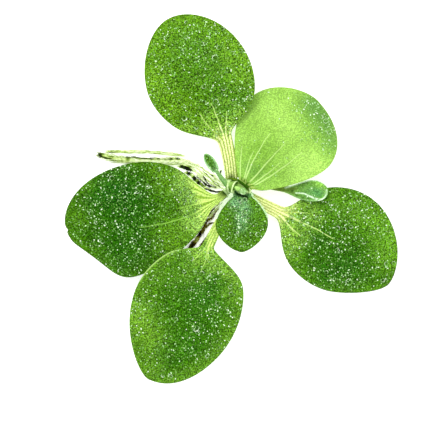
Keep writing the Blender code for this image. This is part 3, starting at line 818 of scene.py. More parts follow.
def grid_leaf(name, leaf, cells):
    """The leaf as one closed mesh, with attributes that say where on the leaf each point is."""
    bpy.ops.object.select_all(action="DESELECT")
    bpy.ops.mesh.primitive_grid_add(x_subdivisions=cells[0], y_subdivisions=cells[1], size=2)
    obj = bpy.context.object
    obj.name = name + "_felted"
    obj.data.name = obj.name
    flat = mesh_points(obj.data)
    across = flat[:, 0]
    along = (flat[:, 1] + 1.0) / 2
    points, shares, halves = leaf_sheet(leaf, across, along)

    # Each vein runs along one line of the grid, from the crown to the far end given for it.
    veins = []
    ridge = np.zeros(len(points))
    for x, y in leaf["veins"]:
        end = np.hypot(points[:, 0] - x, points[:, 1] - y).argmin()
        veins.append((shares[end], along[end]))
        off = np.abs(shares - shares[end]) * halves
        fade = np.clip(1.0 - along / along[end], 0.0, 1.0)
        ridge = np.maximum(ridge, np.exp(-((off / TOP_RIB_WIDTH) ** 2)) * fade)
    outline = points[(np.abs(across) > 0.999) | (along > 0.9999)]
    to_margin = np.zeros(len(points))
    for start in range(0, len(points), 1000):
        few = points[start:start + 1000]
        gaps = np.hypot(few[:, None, 0] - outline[None, :, 0], few[:, None, 1] - outline[None, :, 1])
        to_margin[start:start + 1000] = gaps.min(axis=1)

    # A nick is drawn inwards, towards a place on the left margin.
    aim = points[np.abs(along - 0.6).argmin(), :2]
    for x, y, radius, depth in leaf["nicks"]:
        away = np.hypot(points[:, 0] - x, points[:, 1] - y)
        inwards = (aim - (x, y)) / np.hypot(*(aim - (x, y)))
        points[:, :2] += inwards * (depth * np.exp(-((away / radius * 1.6) ** 2)))[:, None]
    points[:, 2] += TOP_RIB_HEIGHT * ridge

    add_attribute(obj.data, "share", shares)
    add_attribute(obj.data, "half", halves)
    add_attribute(obj.data, "along", along)
    add_attribute(obj.data, "margin", to_margin)
    shaded = [(x, y, MARK_SHADE_RADIUS * size, leaf["shaded"]) for x, y, size in leaf["marks"]]
    lines = [spot for line in leaf["lines"] for spot in smooth_route(line, LINE_STEPS)]
    add_attribute(obj.data, "line", soft_spots(points, lines))
    # Pale spots: paler tissue, partly painted highlight.
    add_attribute(obj.data, "pale", soft_spots(points, leaf["pale"]))
    # Spots of painted sheen and painted shade.
    add_attribute(obj.data, "sheen_and_shade", soft_spots(points, leaf["sheen_and_shade"]))
    # Dark spots: painted shade under and beside neighbouring parts and in the middle of each whorl at the
    # marks.
    add_attribute(obj.data, "dark", soft_spots(points, leaf["dark"] + shaded))
    set_points(obj.data, points * MM)
    group = obj.vertex_groups.new(name="thickness")
    for index, value in enumerate(leaf_thickness(leaf, across, along) / DEEPEST):
        group.add([index], float(value), "REPLACE")
    solid = obj.modifiers.new("thickness", "SOLIDIFY")
    solid.thickness = DEEPEST * MM
    solid.offset = -1.0
    solid.vertex_group = group.name
    bpy.ops.object.modifier_apply(modifier=solid.name)
    bpy.ops.object.shade_smooth()
    return obj, veins


# Felted leaf tissue: matte, with a dense speckle of short hairs over small dark gaps. Their real spacing is
# about 0.1 mm, drawn here at 0.3 to 0.5 mm so that it shows. The stalk is smoother, with cream ribs.
# The ranges are noise values, and between their ends one shade goes over into the other.
GRAIN_SPACING = 0.32
TIP_SPACING = 0.5
MOTTLE_SPACING = 3.0
MOTTLE_RANGE = (0.2917, 0.7083)
GAP_RANGE = (0.4167, 0.6071)
GAP_DARKENS, GAP_BRIGHTENS = 0.7, 0.9
TIP_EDGE, TIP_CORE = 0.4286, 0.1429  # distances from a hair tip, in cells
TIP_STRENGTH = 0.9
TIP_RARITY = 3.0  # the higher, the fewer tips are bright
MARGIN_REACH, MARGIN_GLOW = 5.0, 0.5
SHEEN_AND_SHADE_STRENGTH = 0.75
VEIN_WOBBLE = 0.035
VEIN_TAPER = 0.7
VEIN_SOFTNESS = 0.16
VEIN_STRENGTH = 0.85
STREAKS = (16.0, 2.2)  # fine veins: how many cross the blade, and how many times they break up along it
STREAK_SHADES = (0.65, 1.35)
STALK_FADE = 0.4  # share of the stalk over which its colour goes over into the blade's
FAN_REACH = 1.75  # how far the paler fan at the blade's base reaches, in lengths of the stalk
FAN_STRENGTH = 0.85
RIM_STRENGTH = 0.6
GROOVE_RANGE = (-0.0769, 0.6923)  # how the wave across the stalk goes over from a rib to a groove


def felted_leaf(
    name, veins, deep, mid, edge, sheen_and_shade, speck, fan, stalk, groove, vein, stalk_reach, stalk_lines=17.0,
    speckle=1.0, vein_width=0.30, outline="40600c", margin_line=0.35, dark="1c3a04", line="a2c86c",
):
    material = new_material(name)
    shader = material.node_tree.nodes["Principled BSDF"]
    share, half, along, margin, pale_and_lit_spots, sheen_and_shade_spots, dark_spots, line_spots = (
        add_node(material, "Attribute", output="Fac", attribute_name=attribute)
        for attribute in ("share", "half", "along", "margin", "pale", "sheen_and_shade", "dark", "line")
    )
    place = add_node(material, "TexCoord", output="Object")
    mottle, grain = (
        add_node(
            material, "TexNoise",
            {"Vector": place, "Scale": 1 / (spacing * MM), "Detail": detail, "Roughness": roughness},
        )
        for spacing, detail, roughness in ((MOTTLE_SPACING, 3.0, 0.55), (GRAIN_SPACING, 2.0, 0.65))
    )
    to_tip = add_node(material, "TexVoronoi", {"Vector": place, "Scale": 1 / (TIP_SPACING * MM)}, "Distance")
    chance = add_node(material, "SeparateColor", (to_tip.node.outputs["Color"],), "Red")
    on_leaf = add_node(material, "CombineXYZ", (share, along))
    on_leaf = add_node(material, "Mapping", {"Vector": on_leaf, "Scale": (*STREAKS, 1.0)})
    streak = add_node(material, "TexNoise", {"Vector": on_leaf, "Scale": 1.0, "Detail": 2.0})

    # Large areas: mottled and finely veined, with painted light shining through the thin margin, pale spots
    # that are partly painted highlight, patches of painted sheen and shade, and paler in a fan at the blade's
    # base.
    fade = STALK_FADE * stalk_reach
    mottling = add_node(material, "MapRange", (mottle, *MOTTLE_RANGE))
    streaked = add_node(material, "MapRange", (streak, 0.0, 1.0, *STREAK_SHADES))
    margin_glow = add_node(material, "MapRange", (margin, MARGIN_REACH, 0.0, 0.0, MARGIN_GLOW))
    pale_and_lit_share = add_node(material, "Math", (margin_glow, pale_and_lit_spots), operation="MAXIMUM")
    sheen_and_shade_share = add_node(material, "Math", (sheen_and_shade_spots, SHEEN_AND_SHADE_STRENGTH), operation="MULTIPLY")
    fanned = (along, -0.5 / fade, 0.5 * FAN_REACH / STALK_FADE)
    fanned = add_node(material, "Math", fanned, operation="MULTIPLY_ADD")
    fanned = add_node(material, "Math", (mottle, 1.6, fanned), operation="MULTIPLY_ADD")
    fanned = add_node(material, "MapRange", (fanned, 0.8, 1.8, 0.0, FAN_STRENGTH))

    # Speckle: dark gaps from the noise, then pale hair tips that are bright on only a few of the cells.
    gap_shades = (1.0 - GAP_DARKENS * speckle, 1.0 + GAP_BRIGHTENS * speckle)
    gaps = add_node(material, "MapRange", (grain, *GAP_RANGE, *gap_shades))
    tip = add_node(material, "MapRange", (to_tip, TIP_EDGE, TIP_CORE, 0.0, TIP_STRENGTH * speckle))
    lit = add_node(material, "Math", (chance, TIP_RARITY), operation="POWER")
    tips = add_node(material, "Math", (tip, lit), operation="MULTIPLY")

    # Veins taper towards their ends and waver a little.
    wobble = add_node(material, "MapRange", (mottle, 0.0, 1.0, -VEIN_WOBBLE, VEIN_WOBBLE))
    wavy_share = add_node(material, "Math", (share, wobble), operation="ADD")
    ribs = 0.0
    for vein_share, reach in veins:
        off = add_node(material, "Math", (wavy_share, float(vein_share)), operation="SUBTRACT")
        off = add_node(material, "Math", (off,), operation="ABSOLUTE")
        off = add_node(material, "Math", (off, half), operation="MULTIPLY")
        width = (along, -VEIN_TAPER * vein_width / float(reach), vein_width)
        width = add_node(material, "Math", width, operation="MULTIPLY_ADD")
        rib = add_node(material, "Math", (width, off), operation="SUBTRACT")
        rib = add_node(material, "MapRange", (rib, -0.45 * VEIN_SOFTNESS, 0.55 * VEIN_SOFTNESS))
        not_past = add_node(material, "Math", (along, float(reach)), operation="LESS_THAN")
        rib = add_node(material, "Math", (rib, not_past), operation="MULTIPLY")
        ribs = add_node(material, "Math", (rib, ribs), operation="MAXIMUM")

    # The stalk's tissue fades into the blade, further along its ribs than between them.
    stalky = add_node(material, "Math", (along, -1 / fade, 1 / STALK_FADE), operation="MULTIPLY_ADD")
    stalky = add_node(material, "Math", (mottle, 1.4, stalky), operation="MULTIPLY_ADD")
    stalky = add_node(material, "Math", (ribs, 0.8, stalky), operation="MULTIPLY_ADD")
    stalky = add_node(material, "MapRange", (stalky, 0.4, 1.4))
    in_blade = add_node(material, "Math", (1.0, stalky), operation="SUBTRACT")
    grooves = add_node(material, "Math", (wavy_share, stalk_lines), operation="MULTIPLY")
    grooves = add_node(material, "Math", (grooves,), operation="SINE")
    grooves = add_node(material, "MapRange", (grooves, *GROOVE_RANGE))
    veined = add_node(material, "Math", (ribs, in_blade), operation="MULTIPLY")
    veined = add_node(material, "Math", (veined, VEIN_STRENGTH), operation="MULTIPLY")
    rim = add_node(material, "MapRange", (margin, margin_line, 0.0, 0.0, RIM_STRENGTH))
    rim = add_node(material, "Math", (rim, in_blade), operation="MULTIPLY")

    # The stalk's paleness is partly its own and partly painted light shining through it.
    stalk_colour = linear(stalk)
    for amount, tone, blend in ((grooves, linear(groove), "MIX"), (0.35, gaps, "MULTIPLY")):
        stalk_colour = add_node(
            material, "Mix", {MIX_FACTOR: amount, MIX_A: stalk_colour, MIX_B: tone}, MIX_RESULT,
            data_type="RGBA", blend_type=blend,
        )

    # Layers from the bottom up. At the top a thin line of another green runs round the margin, painted shade
    # darkens tissue under and beside neighbouring parts and round the marks, and turned-up edges are pale.
    colour = linear(deep)
    for amount, tone, blend in (
        (mottling, linear(mid), "MIX"), (1.0, streaked, "MULTIPLY"), (pale_and_lit_share, linear(edge), "MIX"),
        (sheen_and_shade_share, linear(sheen_and_shade), "MIX"), (fanned, linear(fan), "MIX"), (1.0, gaps, "MULTIPLY"),
        (tips, linear(speck), "MIX"), (stalky, stalk_colour, "MIX"), (veined, linear(vein), "MIX"),
        (rim, linear(outline), "MIX"), (dark_spots, linear(dark), "MIX"), (line_spots, linear(line), "MIX"),
    ):
        colour = add_node(
            material, "Mix", {MIX_FACTOR: amount, MIX_A: colour, MIX_B: tone}, MIX_RESULT,
            data_type="RGBA", blend_type=blend,
        )
    material.node_tree.links.new(colour, shader.inputs["Base Color"])

    rough = add_node(material, "Math", (grain, 0.25, 0.42), operation="MULTIPLY_ADD")
    material.node_tree.links.new(rough, shader.inputs["Roughness"])
    smoother = add_node(material, "Math", (stalky, -0.8, 1.0), operation="MULTIPLY_ADD")
    felt = add_node(material, "Math", (tips, 0.6, grain), operation="MULTIPLY_ADD")
    felt = add_node(material, "Math", (felt, smoother), operation="MULTIPLY")
    bump = add_node(material, "Bump", {"Strength": 0.6 * speckle, "Distance": 0.2 * MM, "Height": felt})
    material.node_tree.links.new(bump, shader.inputs["Normal"])
    shader.inputs["IOR"].default_value = 1.4
    shader.inputs["Specular IOR Level"].default_value = 0.02
    return material


# Colours of each leaf: its mottled green (deep, mid), paler with painted light towards the margin and at its
# pale spots, its painted sheen and shade, hair tips, the fan at its base, its stalk with grooves, pale partly
# from painted light shining through, and its veins. Then how far the stalk reaches, as a share of the leaf.
LEAF_COLOURS = {
    "leaf_upper": dict(
        deep="3a6602", mid="4c7c0c", edge="5e8c1a", sheen_and_shade="3e7018", speck="a8d074", fan="80ac3c",
        stalk="e6f0a4", groove="98ae48", vein="c4e484", stalk_reach=0.26, stalk_lines=15.0, speckle=1.15,
        outline="5a7a14",
    ),
    "leaf_right": dict(
        deep="205002", mid="376a02", edge="588c1c", sheen_and_shade="22580c", speck="acd47c", fan="8cb844",
        stalk="e8f2a2", groove="b8c468", vein="d0ec8c", stalk_reach=0.26, stalk_lines=15.0,
    ),
    "leaf_lower": dict(
        deep="245600", mid="386c04", edge="6a9a28", sheen_and_shade="285e10", speck="a6d078", fan="84b040",
        stalk="cce47c", groove="9cc04c", vein="aed66c", stalk_reach=0.24, stalk_lines=13.0,
        outline="5e8c2c", line="a2c86c",
    ),
    "leaf_left": dict(
        deep="164800", mid="295c00", edge="507e14", sheen_and_shade="164e0a", speck="a2d07c", fan="94bc56",
        stalk="cae878", groove="86ac38", vein="8cbe4c", stalk_reach=0.18, stalk_lines=23.0, vein_width=0.24,
    ),
}

for name, leaf in LARGE_LEAVES.items():
    obj, veins = grid_leaf(name, leaf, LARGE_CELLS)
    obj.data.materials.append(felted_leaf(name + "_tissue", veins, **LEAF_COLOURS[name]))
    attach(obj, "root")
    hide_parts(name)


# ---------------------------------------------------------------------------------------------------
# Bright leaf. It is the youngest of the full-sized leaves, with almost no stalk and thinner tissue, and its
# yellow-green is painted light that comes through it. Only its upper right margin is dark, with painted
# shade, and thickly haired.
# ---------------------------------------------------------------------------------------------------
BRIGHT_LEAF = dict(
    PLAIN_LEAF, base=(1.5, 0.9), tip=(20.0, 22.3), bow=1.0, stalk=(1.95, 3.0),
    left=(12.1, 0.0, 1.30, 0.64), right=(13.4, 0.0, 1.56, 0.38), flare=0.03,
    heights=(6.8, 7.6, 8.6, 9.6, 5.0), cup=(-12.0, 3.0), wave=(0.4, 1.5), seed=11,
    veins=[(3.9, 9.7), (11.6, 11.8), (10.6, 6.8), (16.0, 9.5), (1.0, 11.0), (8.0, 14.0)],
    nicks=[(19.8, 23.4, 0.5, 0.25), (21.2, 22.3, 0.4, 0.2), (22.3, 20.9, 0.4, 0.2)],
    pale=[(17.0, 6.0, 6.0, 0.9), (9.0, 20.0, 6.0, 0.7), (19.0, 3.0, 5.0, 0.6), (13.5, 15.5, 3.0, 0.5)],
    # Painted shade on the upper right margin, which turns away from the light, and at the base.
    sheen_and_shade=[
        (22.5, 17.5, 4.4, 0.9), (24.0, 11.5, 3.0, 0.6), (18.8, 22.0, 3.6, 0.85), (3.6, 4.4, 2.2, 0.4),
        (5.6, 3.4, 2.0, 0.3), (2.2, 5.8, 1.6, 0.35),
    ],
    dark=[
        (1.6, 1.2, 1.1, 0.7), (0.7, 2.0, 0.6, 0.7), (2.4, 0.6, 0.6, 0.6), (6.0, 7.5, 5.5, 0.12),
        (11.5, 4.5, 4.5, 0.12),
    ],
    marks=[
        (20.7, 18.15, 1.1), (22.2, 18.15, 1.1), (21.8, 16.9, 1.2), (18.7, 13.2, 1.0), (19.4, 12.4, 1.0),
        (15.85, 12.25, 0.8), (21.1, 11.0, 0.9), (13.55, 21.55, 0.7), (20.4, 15.2, 1.2), (22.6, 14.0, 1.1),
    ],
    tufts=420, whorls=4, scattered=0.02, clumped=0.02, at_sheen_and_shade=1.0, least_tone=0.5, shaded=0.15,
)
obj, veins = grid_leaf("leaf_upper_right", BRIGHT_LEAF, LARGE_CELLS)
# Its bright yellow-green is painted light coming through the thin tissue.
obj.data.materials.append(
    felted_leaf(
        "bright_leaf_tissue", veins, deep="73a334", mid="8ab94a", edge="9ecc5c", sheen_and_shade="4c7e38",
        speck="b4d88c", fan="74a838", stalk="b8d46c", groove="5c8c1c", vein="c4e68a", stalk_reach=0.05,
        speckle=0.38, vein_width=0.21, outline="86ac40", dark="1c5004",
    )
)
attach(obj, "root")
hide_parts("leaf_upper_right")


# ---------------------------------------------------------------------------------------------------
# Young leaves. The centre leaf is small and cupped under close hair, with a painted blue-green sheen down its
# middle and painted shadow under the bud. The folded leaf is still closed along its middle, and the furled
# one is the youngest, rolled up on a thin pale stalk.
# ---------------------------------------------------------------------------------------------------
YOUNG_LEAVES = {
    "leaf_centre": dict(
        PLAIN_LEAF, base=(1.0, -0.9), tip=(0.8, -15.55), bow=0.1, stalk=(2.3, 3.4),
        left=(5.75, 0.0, 1.03, 0.8), right=(5.85, 0.0, 1.11, 0.71), flare=0.06,
        heights=(7.8, 9.2, 9.4, 8.2, 5.6), cup=(14.0, 14.0), wave=(0.2, 1.5), thickness=0.8, seed=13,
        veins=[(1.0, -8.0)],
        nicks=[(-0.3, -15.6, 0.5, 0.3)],
        pale=[(-3.5, -8.5, 2.0, 0.6), (5.0, -11.0, 1.8, 0.6), (0.5, -13.5, 2.5, 0.5)],
        # Painted blue-green sheen down the middle.
        sheen_and_shade=[
            (0.2, -2.6, 1.5, 1.0), (1.0, -3.6, 1.4, 1.0), (1.1, -5.4, 1.4, 1.0), (0.9, -7.6, 1.2, 1.0),
            (0.9, -9.5, 1.1, 0.7), (-1.4, -3.4, 1.0, 0.7), (2.6, -5.2, 1.0, 0.4),
        ],
        # Painted shadow under the bud.
        dark=[(-0.3, -0.9, 0.6, 1.0), (0.5, -1.2, 0.55, 1.0), (1.3, -1.5, 0.5, 1.0), (2.1, -1.7, 0.5, 0.9)],
        marks=[
            (5.0, -11.15, 1.3), (0.3, -2.5, 1.35), (0.35, -2.55, 1.2), (1.65, -2.45, 1.2),
            (1.7, -2.5, 1.05), (-0.4, -6.8, 0.9), (2.4, -6.8, 0.9), (0.0, -10.5, 0.9), (0.85, -3.75, 0.9),
            (0.05, -4.65, 0.9), (1.3, -5.7, 1.1), (1.25, -5.6, 0.8), (1.5, -8.1, 0.8), (3.35, -8.2, 0.7),
            (-1.9, -4.65, 0.7), (0.9, -6.6, 0.8), (0.3, -8.0, 0.7), (1.7, -9.6, 0.7), (2.4, -3.6, 0.7),
            (-1.0, -5.0, 0.7),
        ],
        tufts=620, whorls=10, scattered=0.2, clumped=0.3, at_sheen_and_shade=1.9, shaded=0.3,
    ),
    "leaf_young_folded": dict(
        PLAIN_LEAF, base=(3.3, 2.2), tip=(22.4, 0.2), bow=-1.0, s_bend=0.25, stalk=(0.45, 0.9),
        left=(2.5, 0.42, 1.5, 0.5), right=(2.3, 0.34, 2.4, 0.38), flare=0.25,
        heights=(3.0, 2.8, 5.0, 6.2, 6.0), cup=(30.0, 62.0), wave=(0.0, 1.0), thickness=0.6, seed=15,
        veins=[(18.0, 0.2)],
        pale=[(20.6, 1.9, 1.5, 1.0), (19.3, 1.0, 1.6, 0.5)],
        sheen_and_shade=[(17.2, -0.6, 1.7, 0.9), (19.2, -0.7, 1.5, 1.0), (20.8, -0.9, 1.0, 0.8)],
        dark=[
            (13.5, -0.1, 0.7, 0.6), (15.2, 1.5, 0.5, 0.7), (16.2, 1.8, 0.5, 0.7), (17.2, 2.0, 0.4, 0.6),
            (14.8, -1.3, 0.5, 0.5), (16.2, -1.9, 0.5, 0.6), (17.6, -2.2, 0.4, 0.6),
        ],
        lines=[
            [(11.8, 0.5, 0.2, 0.4), (14.2, 1.35, 0.2, 0.6), (16.4, 2.1, 0.2, 0.7), (18.6, 2.6, 0.2, 0.6),
             (20.6, 2.8, 0.2, 0.4)],
            [(14.4, -0.75, 0.16, 0.5), (16.4, -0.9, 0.16, 0.5), (18.0, -1.6, 0.17, 0.55),
             (19.4, -2.2, 0.17, 0.55), (20.8, -2.35, 0.17, 0.45), (21.8, -1.5, 0.15, 0.35),
             (22.1, 0.1, 0.15, 0.3)],
        ],
        marks=[(21.4, -0.1, 0.5)],
        tufts=60, whorls=0,
    ),
    "leaf_young_furled": dict(
        PLAIN_LEAF, base=(-2.7, 1.2), tip=(-8.3, 9.0), bow=0.15, stalk=(0.32, 0.28),
        left=(1.15, 0.42, 1.0, 0.5), right=(1.2, 0.42, 1.0, 0.5), flare=0.08,
        heights=(4.8, 5.2, 6.4, 7.4, 7.8), cup=(64.0, 64.0), wave=(0.0, 1.0), thickness=0.36, seed=17,
        veins=[(-6.5, 7.0)],
        sheen_and_shade=[(-5.4, 5.0, 0.7, 0.5)],
        dark=[(-7.7, 8.2, 0.5, 0.4), (-7.2, 7.4, 0.5, 0.4), (-6.7, 6.6, 0.5, 0.45), (-6.2, 5.7, 0.45, 0.5)],
        lines=[
            [(-8.65, 8.0, 0.12, 0.4), (-8.5, 7.3, 0.16, 0.8), (-7.95, 6.3, 0.18, 0.8),
             (-6.95, 5.2, 0.22, 0.7)],
            [(-7.0, 9.0, 0.14, 0.6), (-6.15, 8.0, 0.18, 0.8), (-5.5, 6.8, 0.2, 0.8), (-5.1, 5.7, 0.2, 0.7)],
        ],
        marks=[(-6.0, 5.3, 0.55)],
        tufts=44, whorls=0,
    ),
}
YOUNG_COLOURS = {
    "leaf_centre": dict(
        # Its near-black dark is the painted shadow under the bud, and its blue-green is painted sheen.
        deep="325c0c", mid="467818", edge="548614", sheen_and_shade="6c9c6c", speck="9cc884", fan="4f8044",
        stalk="5c8c50", groove="3f6c30", vein="6c9a58", stalk_reach=0.05, speckle=1.05, dark="061c02",
    ),
    "leaf_young_folded": dict(
        deep="42741a", mid="5f9630", edge="8cc44c", sheen_and_shade="4c8850", speck="b4d8a0", fan="6c9a44",
        stalk="869c48", groove="5c7c28", vein="6c9a50", stalk_reach=0.56, speckle=0.5, outline="8cbc74",
        margin_line=0.3, dark="1c4406", line="dcf4d4",
    ),
    "leaf_young_furled": dict(
        deep="3c7008", mid="508414", edge="5c9228", sheen_and_shade="588a3c", speck="9cca8c", fan="5c9040",
        stalk="84b068", groove="6c9c50", vein="4f8636", stalk_reach=0.5, outline="b4dcb0", margin_line=0.45,
        dark="1c4a02", line="b0dca2",
    ),
}
YOUNG_CELLS = (56, 60)

for name, leaf in YOUNG_LEAVES.items():
    obj, veins = grid_leaf(name, leaf, YOUNG_CELLS)
    obj.data.materials.append(felted_leaf(name + "_tissue", veins, **YOUNG_COLOURS[name]))
    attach(obj, "root")
    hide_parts(name)


# ---------------------------------------------------------------------------------------------------
# Bud and leaf sheath. The bud is a round pale knob of unopened leaves, downy all over, on a short neck. The
# sheath is a dark green fold of skin, its dark partly painted shade, that curves round it, with a thin pale
# lip along its outer edge.
# ---------------------------------------------------------------------------------------------------
BUD_VOXEL = 0.09
FOOT_VOXEL = 0.07
LIP_VOXEL = 0.05
NECK_STEPS = 6
FOLD_STEPS = 8
LIP_POINTS = 20  # so that the lip ends before the fold does
LIP_RADIUS = 0.1
LIP_SHIFT = (0.2, 0.24, 0.3)

# Routes: x, y, height and radius. Shade as on the crown.
BUD_ROUTE = [
    (-0.4, 0.5, 6.5, 0.5), (-0.2, 0.45, 7.5, 0.62), (0.45, 0.12, 8.4, 0.62), (0.72, 0.0, 8.7, 0.62),
]
BUD_KNOB = (1.2, -0.36, 9.25, 0.86)
BUD_SHADE = [(0.35, -0.45, 0.35, 0.8), (0.85, 0.35, 0.25, 0.5), (0.5, 0.05, 0.2, 0.4)]
FOLD_ROUTE = [
    (0.0, 2.45, 7.55, 0.3), (0.6, 2.05, 7.85, 0.38), (1.3, 1.55, 8.15, 0.42), (2.3, 0.65, 8.6, 0.36),
]
FOOT_ROUTE = [
    (-2.3, 2.85, 5.6, 0.2), (-1.5, 2.85, 6.4, 0.26), (-0.8, 2.6, 6.95, 0.26), (0.0, 2.45, 7.4, 0.26),
]

# Tissues, each given as the crown's is.
NECK_TISSUE = ("bud_neck_tissue", "4c7c20", "98c864", "c4e88c", 0.02, 0.2)
BUD_TISSUE = ("bud_tissue", "4a6a24", "98c078", "bcdea0", 0.02, 0.2)
# Painted shade: the fold's dark green partly, under the bright leaf's base, and the foot's olive partly.
FOLD_SKIN_AND_SHADE = ("sheath_skin_and_shade", "183402", "2a5203", "3c6810", 0.05, 0.25)
FOOT_SKIN_AND_SHADE = ("sheath_foot_skin_and_shade", "303e06", "50700e", "74922c", 0.02, 0.2)
LIP_SKIN = ("sheath_lip_skin", "4f7a22", "8aac4c", "a2c468", 0.02, 0.2)


def hanging(route):
    """Lumps along a route that hang down from it, twice as tall as they are wide."""
    return [(x, y, z - radius, radius, radius, 2 * radius, 0) for x, y, z, radius in route]


lumps = [(x, y, z, radius, radius, radius, 0) for x, y, z, radius in smooth_route(BUD_ROUTE, NECK_STEPS)]
fleshy_part("bud_neck", NECK_TISSUE, lumps, BUD_VOXEL, 3, 30, shade=BUD_SHADE)
x, y, z, radius = BUD_KNOB
lumps = [(x, y, z, radius, radius, radius, 0)]
bud = fleshy_part("bud_knob", BUD_TISSUE, lumps, BUD_VOXEL, 2, 30, shade=BUD_SHADE)
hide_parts("bud")

fold_route = smooth_route(FOLD_ROUTE, FOLD_STEPS)
lumps = hanging(fold_route)
fold = fleshy_part("leaf_sheath_fold", FOLD_SKIN_AND_SHADE, lumps, BUD_VOXEL, 3, 30, lift=0.1)
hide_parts("leaf_sheath")
lumps = hanging(smooth_route(FOOT_ROUTE, FOLD_STEPS))
fleshy_part("leaf_sheath_foot", FOOT_SKIN_AND_SHADE, lumps, FOOT_VOXEL, 2, 20, lift=0.05)
lumps = hanging([(*point, LIP_RADIUS) for point in fold_route[:LIP_POINTS, :3] + LIP_SHIFT])
fleshy_part("leaf_sheath_lip", LIP_SKIN, lumps, LIP_VOXEL, 2, 10)


# ---------------------------------------------------------------------------------------------------
# Leaf hair. Every leaf is felted with short white hairs in tufts, and here and there a wider whorl of them
# stands up. A real hair is about 0.05 mm thick, and here up to six times that, so that a tuft shows.
# ---------------------------------------------------------------------------------------------------
TUFT = dict(hairs=5, ring=0.05, lean=34.0, length=0.25, width=0.145)
WHORL = dict(hairs=12, ring=0.42, lean=14.0, length=0.34, width=0.18)
HAIR_ACROSS = (-0.95, 0.95)
HAIR_ALONG = (0.04, 0.985)
CHOICES_PER_TUFT = 24
CLUMPS = 46
CLUMP_RADIUS = 1.7
CLUMP_SIZES = (0.6, 1.4)
CLUMP_STRENGTH = 0.8
BARE_STALK = 0.2
BARE_STALK_EDGE = 0.12
WHITE_TUFTS = 0.35  # power of the draw: well below 1, so that few of them are white
LEAST_TUFT = 0.45  # size of the greenest tufts, where the whitest have size 1
TUFT_UNEVEN = (-0.1, 0.15)
TUFT_STRETCH = (0.7, 1.9)
WHORL_SIZES = (0.4, 0.85)


def modelled_cluster(hairs, ring, lean, length, width):
    """Tapered hairs that stand in a ring and lean outwards, as points in millimetres and triangles."""
    bpy.ops.object.select_all(action="DESELECT")
    tilt = math.radians(lean)
    cones = []
    for number in range(hairs):
        turn = 2 * math.pi * number / hairs
        reach = ring + math.sin(tilt) * length / 2
        bpy.ops.mesh.primitive_cone_add(
            vertices=4, radius1=width / 2, radius2=0.0, depth=length,
            location=(reach * math.cos(turn), reach * math.sin(turn), math.cos(tilt) * length / 2),
            rotation=(0.0, tilt, turn),
        )
        bpy.ops.object.transform_apply(location=True, rotation=True, scale=True)
        cones.append(bpy.context.object)
    for cone in cones:
        cone.select_set(True)
    bpy.ops.object.join()
    return template_of(bpy.context.object)


def clusters_joined(name, cluster, places, frames, sizes, tones):
    """Copies of a cluster, each at a place in millimetres, in its frame and at its size."""
    points, triangles = cluster
    placed = np.einsum("kij,pj->kpi", frames, points) * sizes[:, None, None] + places[:, None, :]
    return copies_joined(name, placed, triangles, tones)


def upright_frames(normals, rng):
    """Frames with Z along each normal, turned at random."""
    spin = rng.uniform(0, 2 * np.pi, len(normals))
    first = np.stack([np.cos(spin), np.sin(spin), np.zeros(len(spin))], axis=1)
    first -= normals * (first * normals).sum(axis=1)[:, None]
    first /= np.linalg.norm(first, axis=1)[:, None]
    return np.stack([first, np.cross(normals, first), normals], axis=2)


def leaf_places(leaf, across, along):
    """For places on a leaf: the points, the upward normals there, and the area that each stands for."""
    step = 0.004
    points = leaf_sheet(leaf, across, along)[0]
    sideways = leaf_sheet(leaf, across + step, along)[0] - leaf_sheet(leaf, across - step, along)[0]
    onwards = leaf_sheet(leaf, across, along + step)[0] - leaf_sheet(leaf, across, along - step)[0]
    normals = np.cross(sideways, onwards)
    area = np.linalg.norm(normals, axis=1)
    normals /= area[:, None]
    normals *= np.sign(normals[:, 2])[:, None]
    return points, normals, area


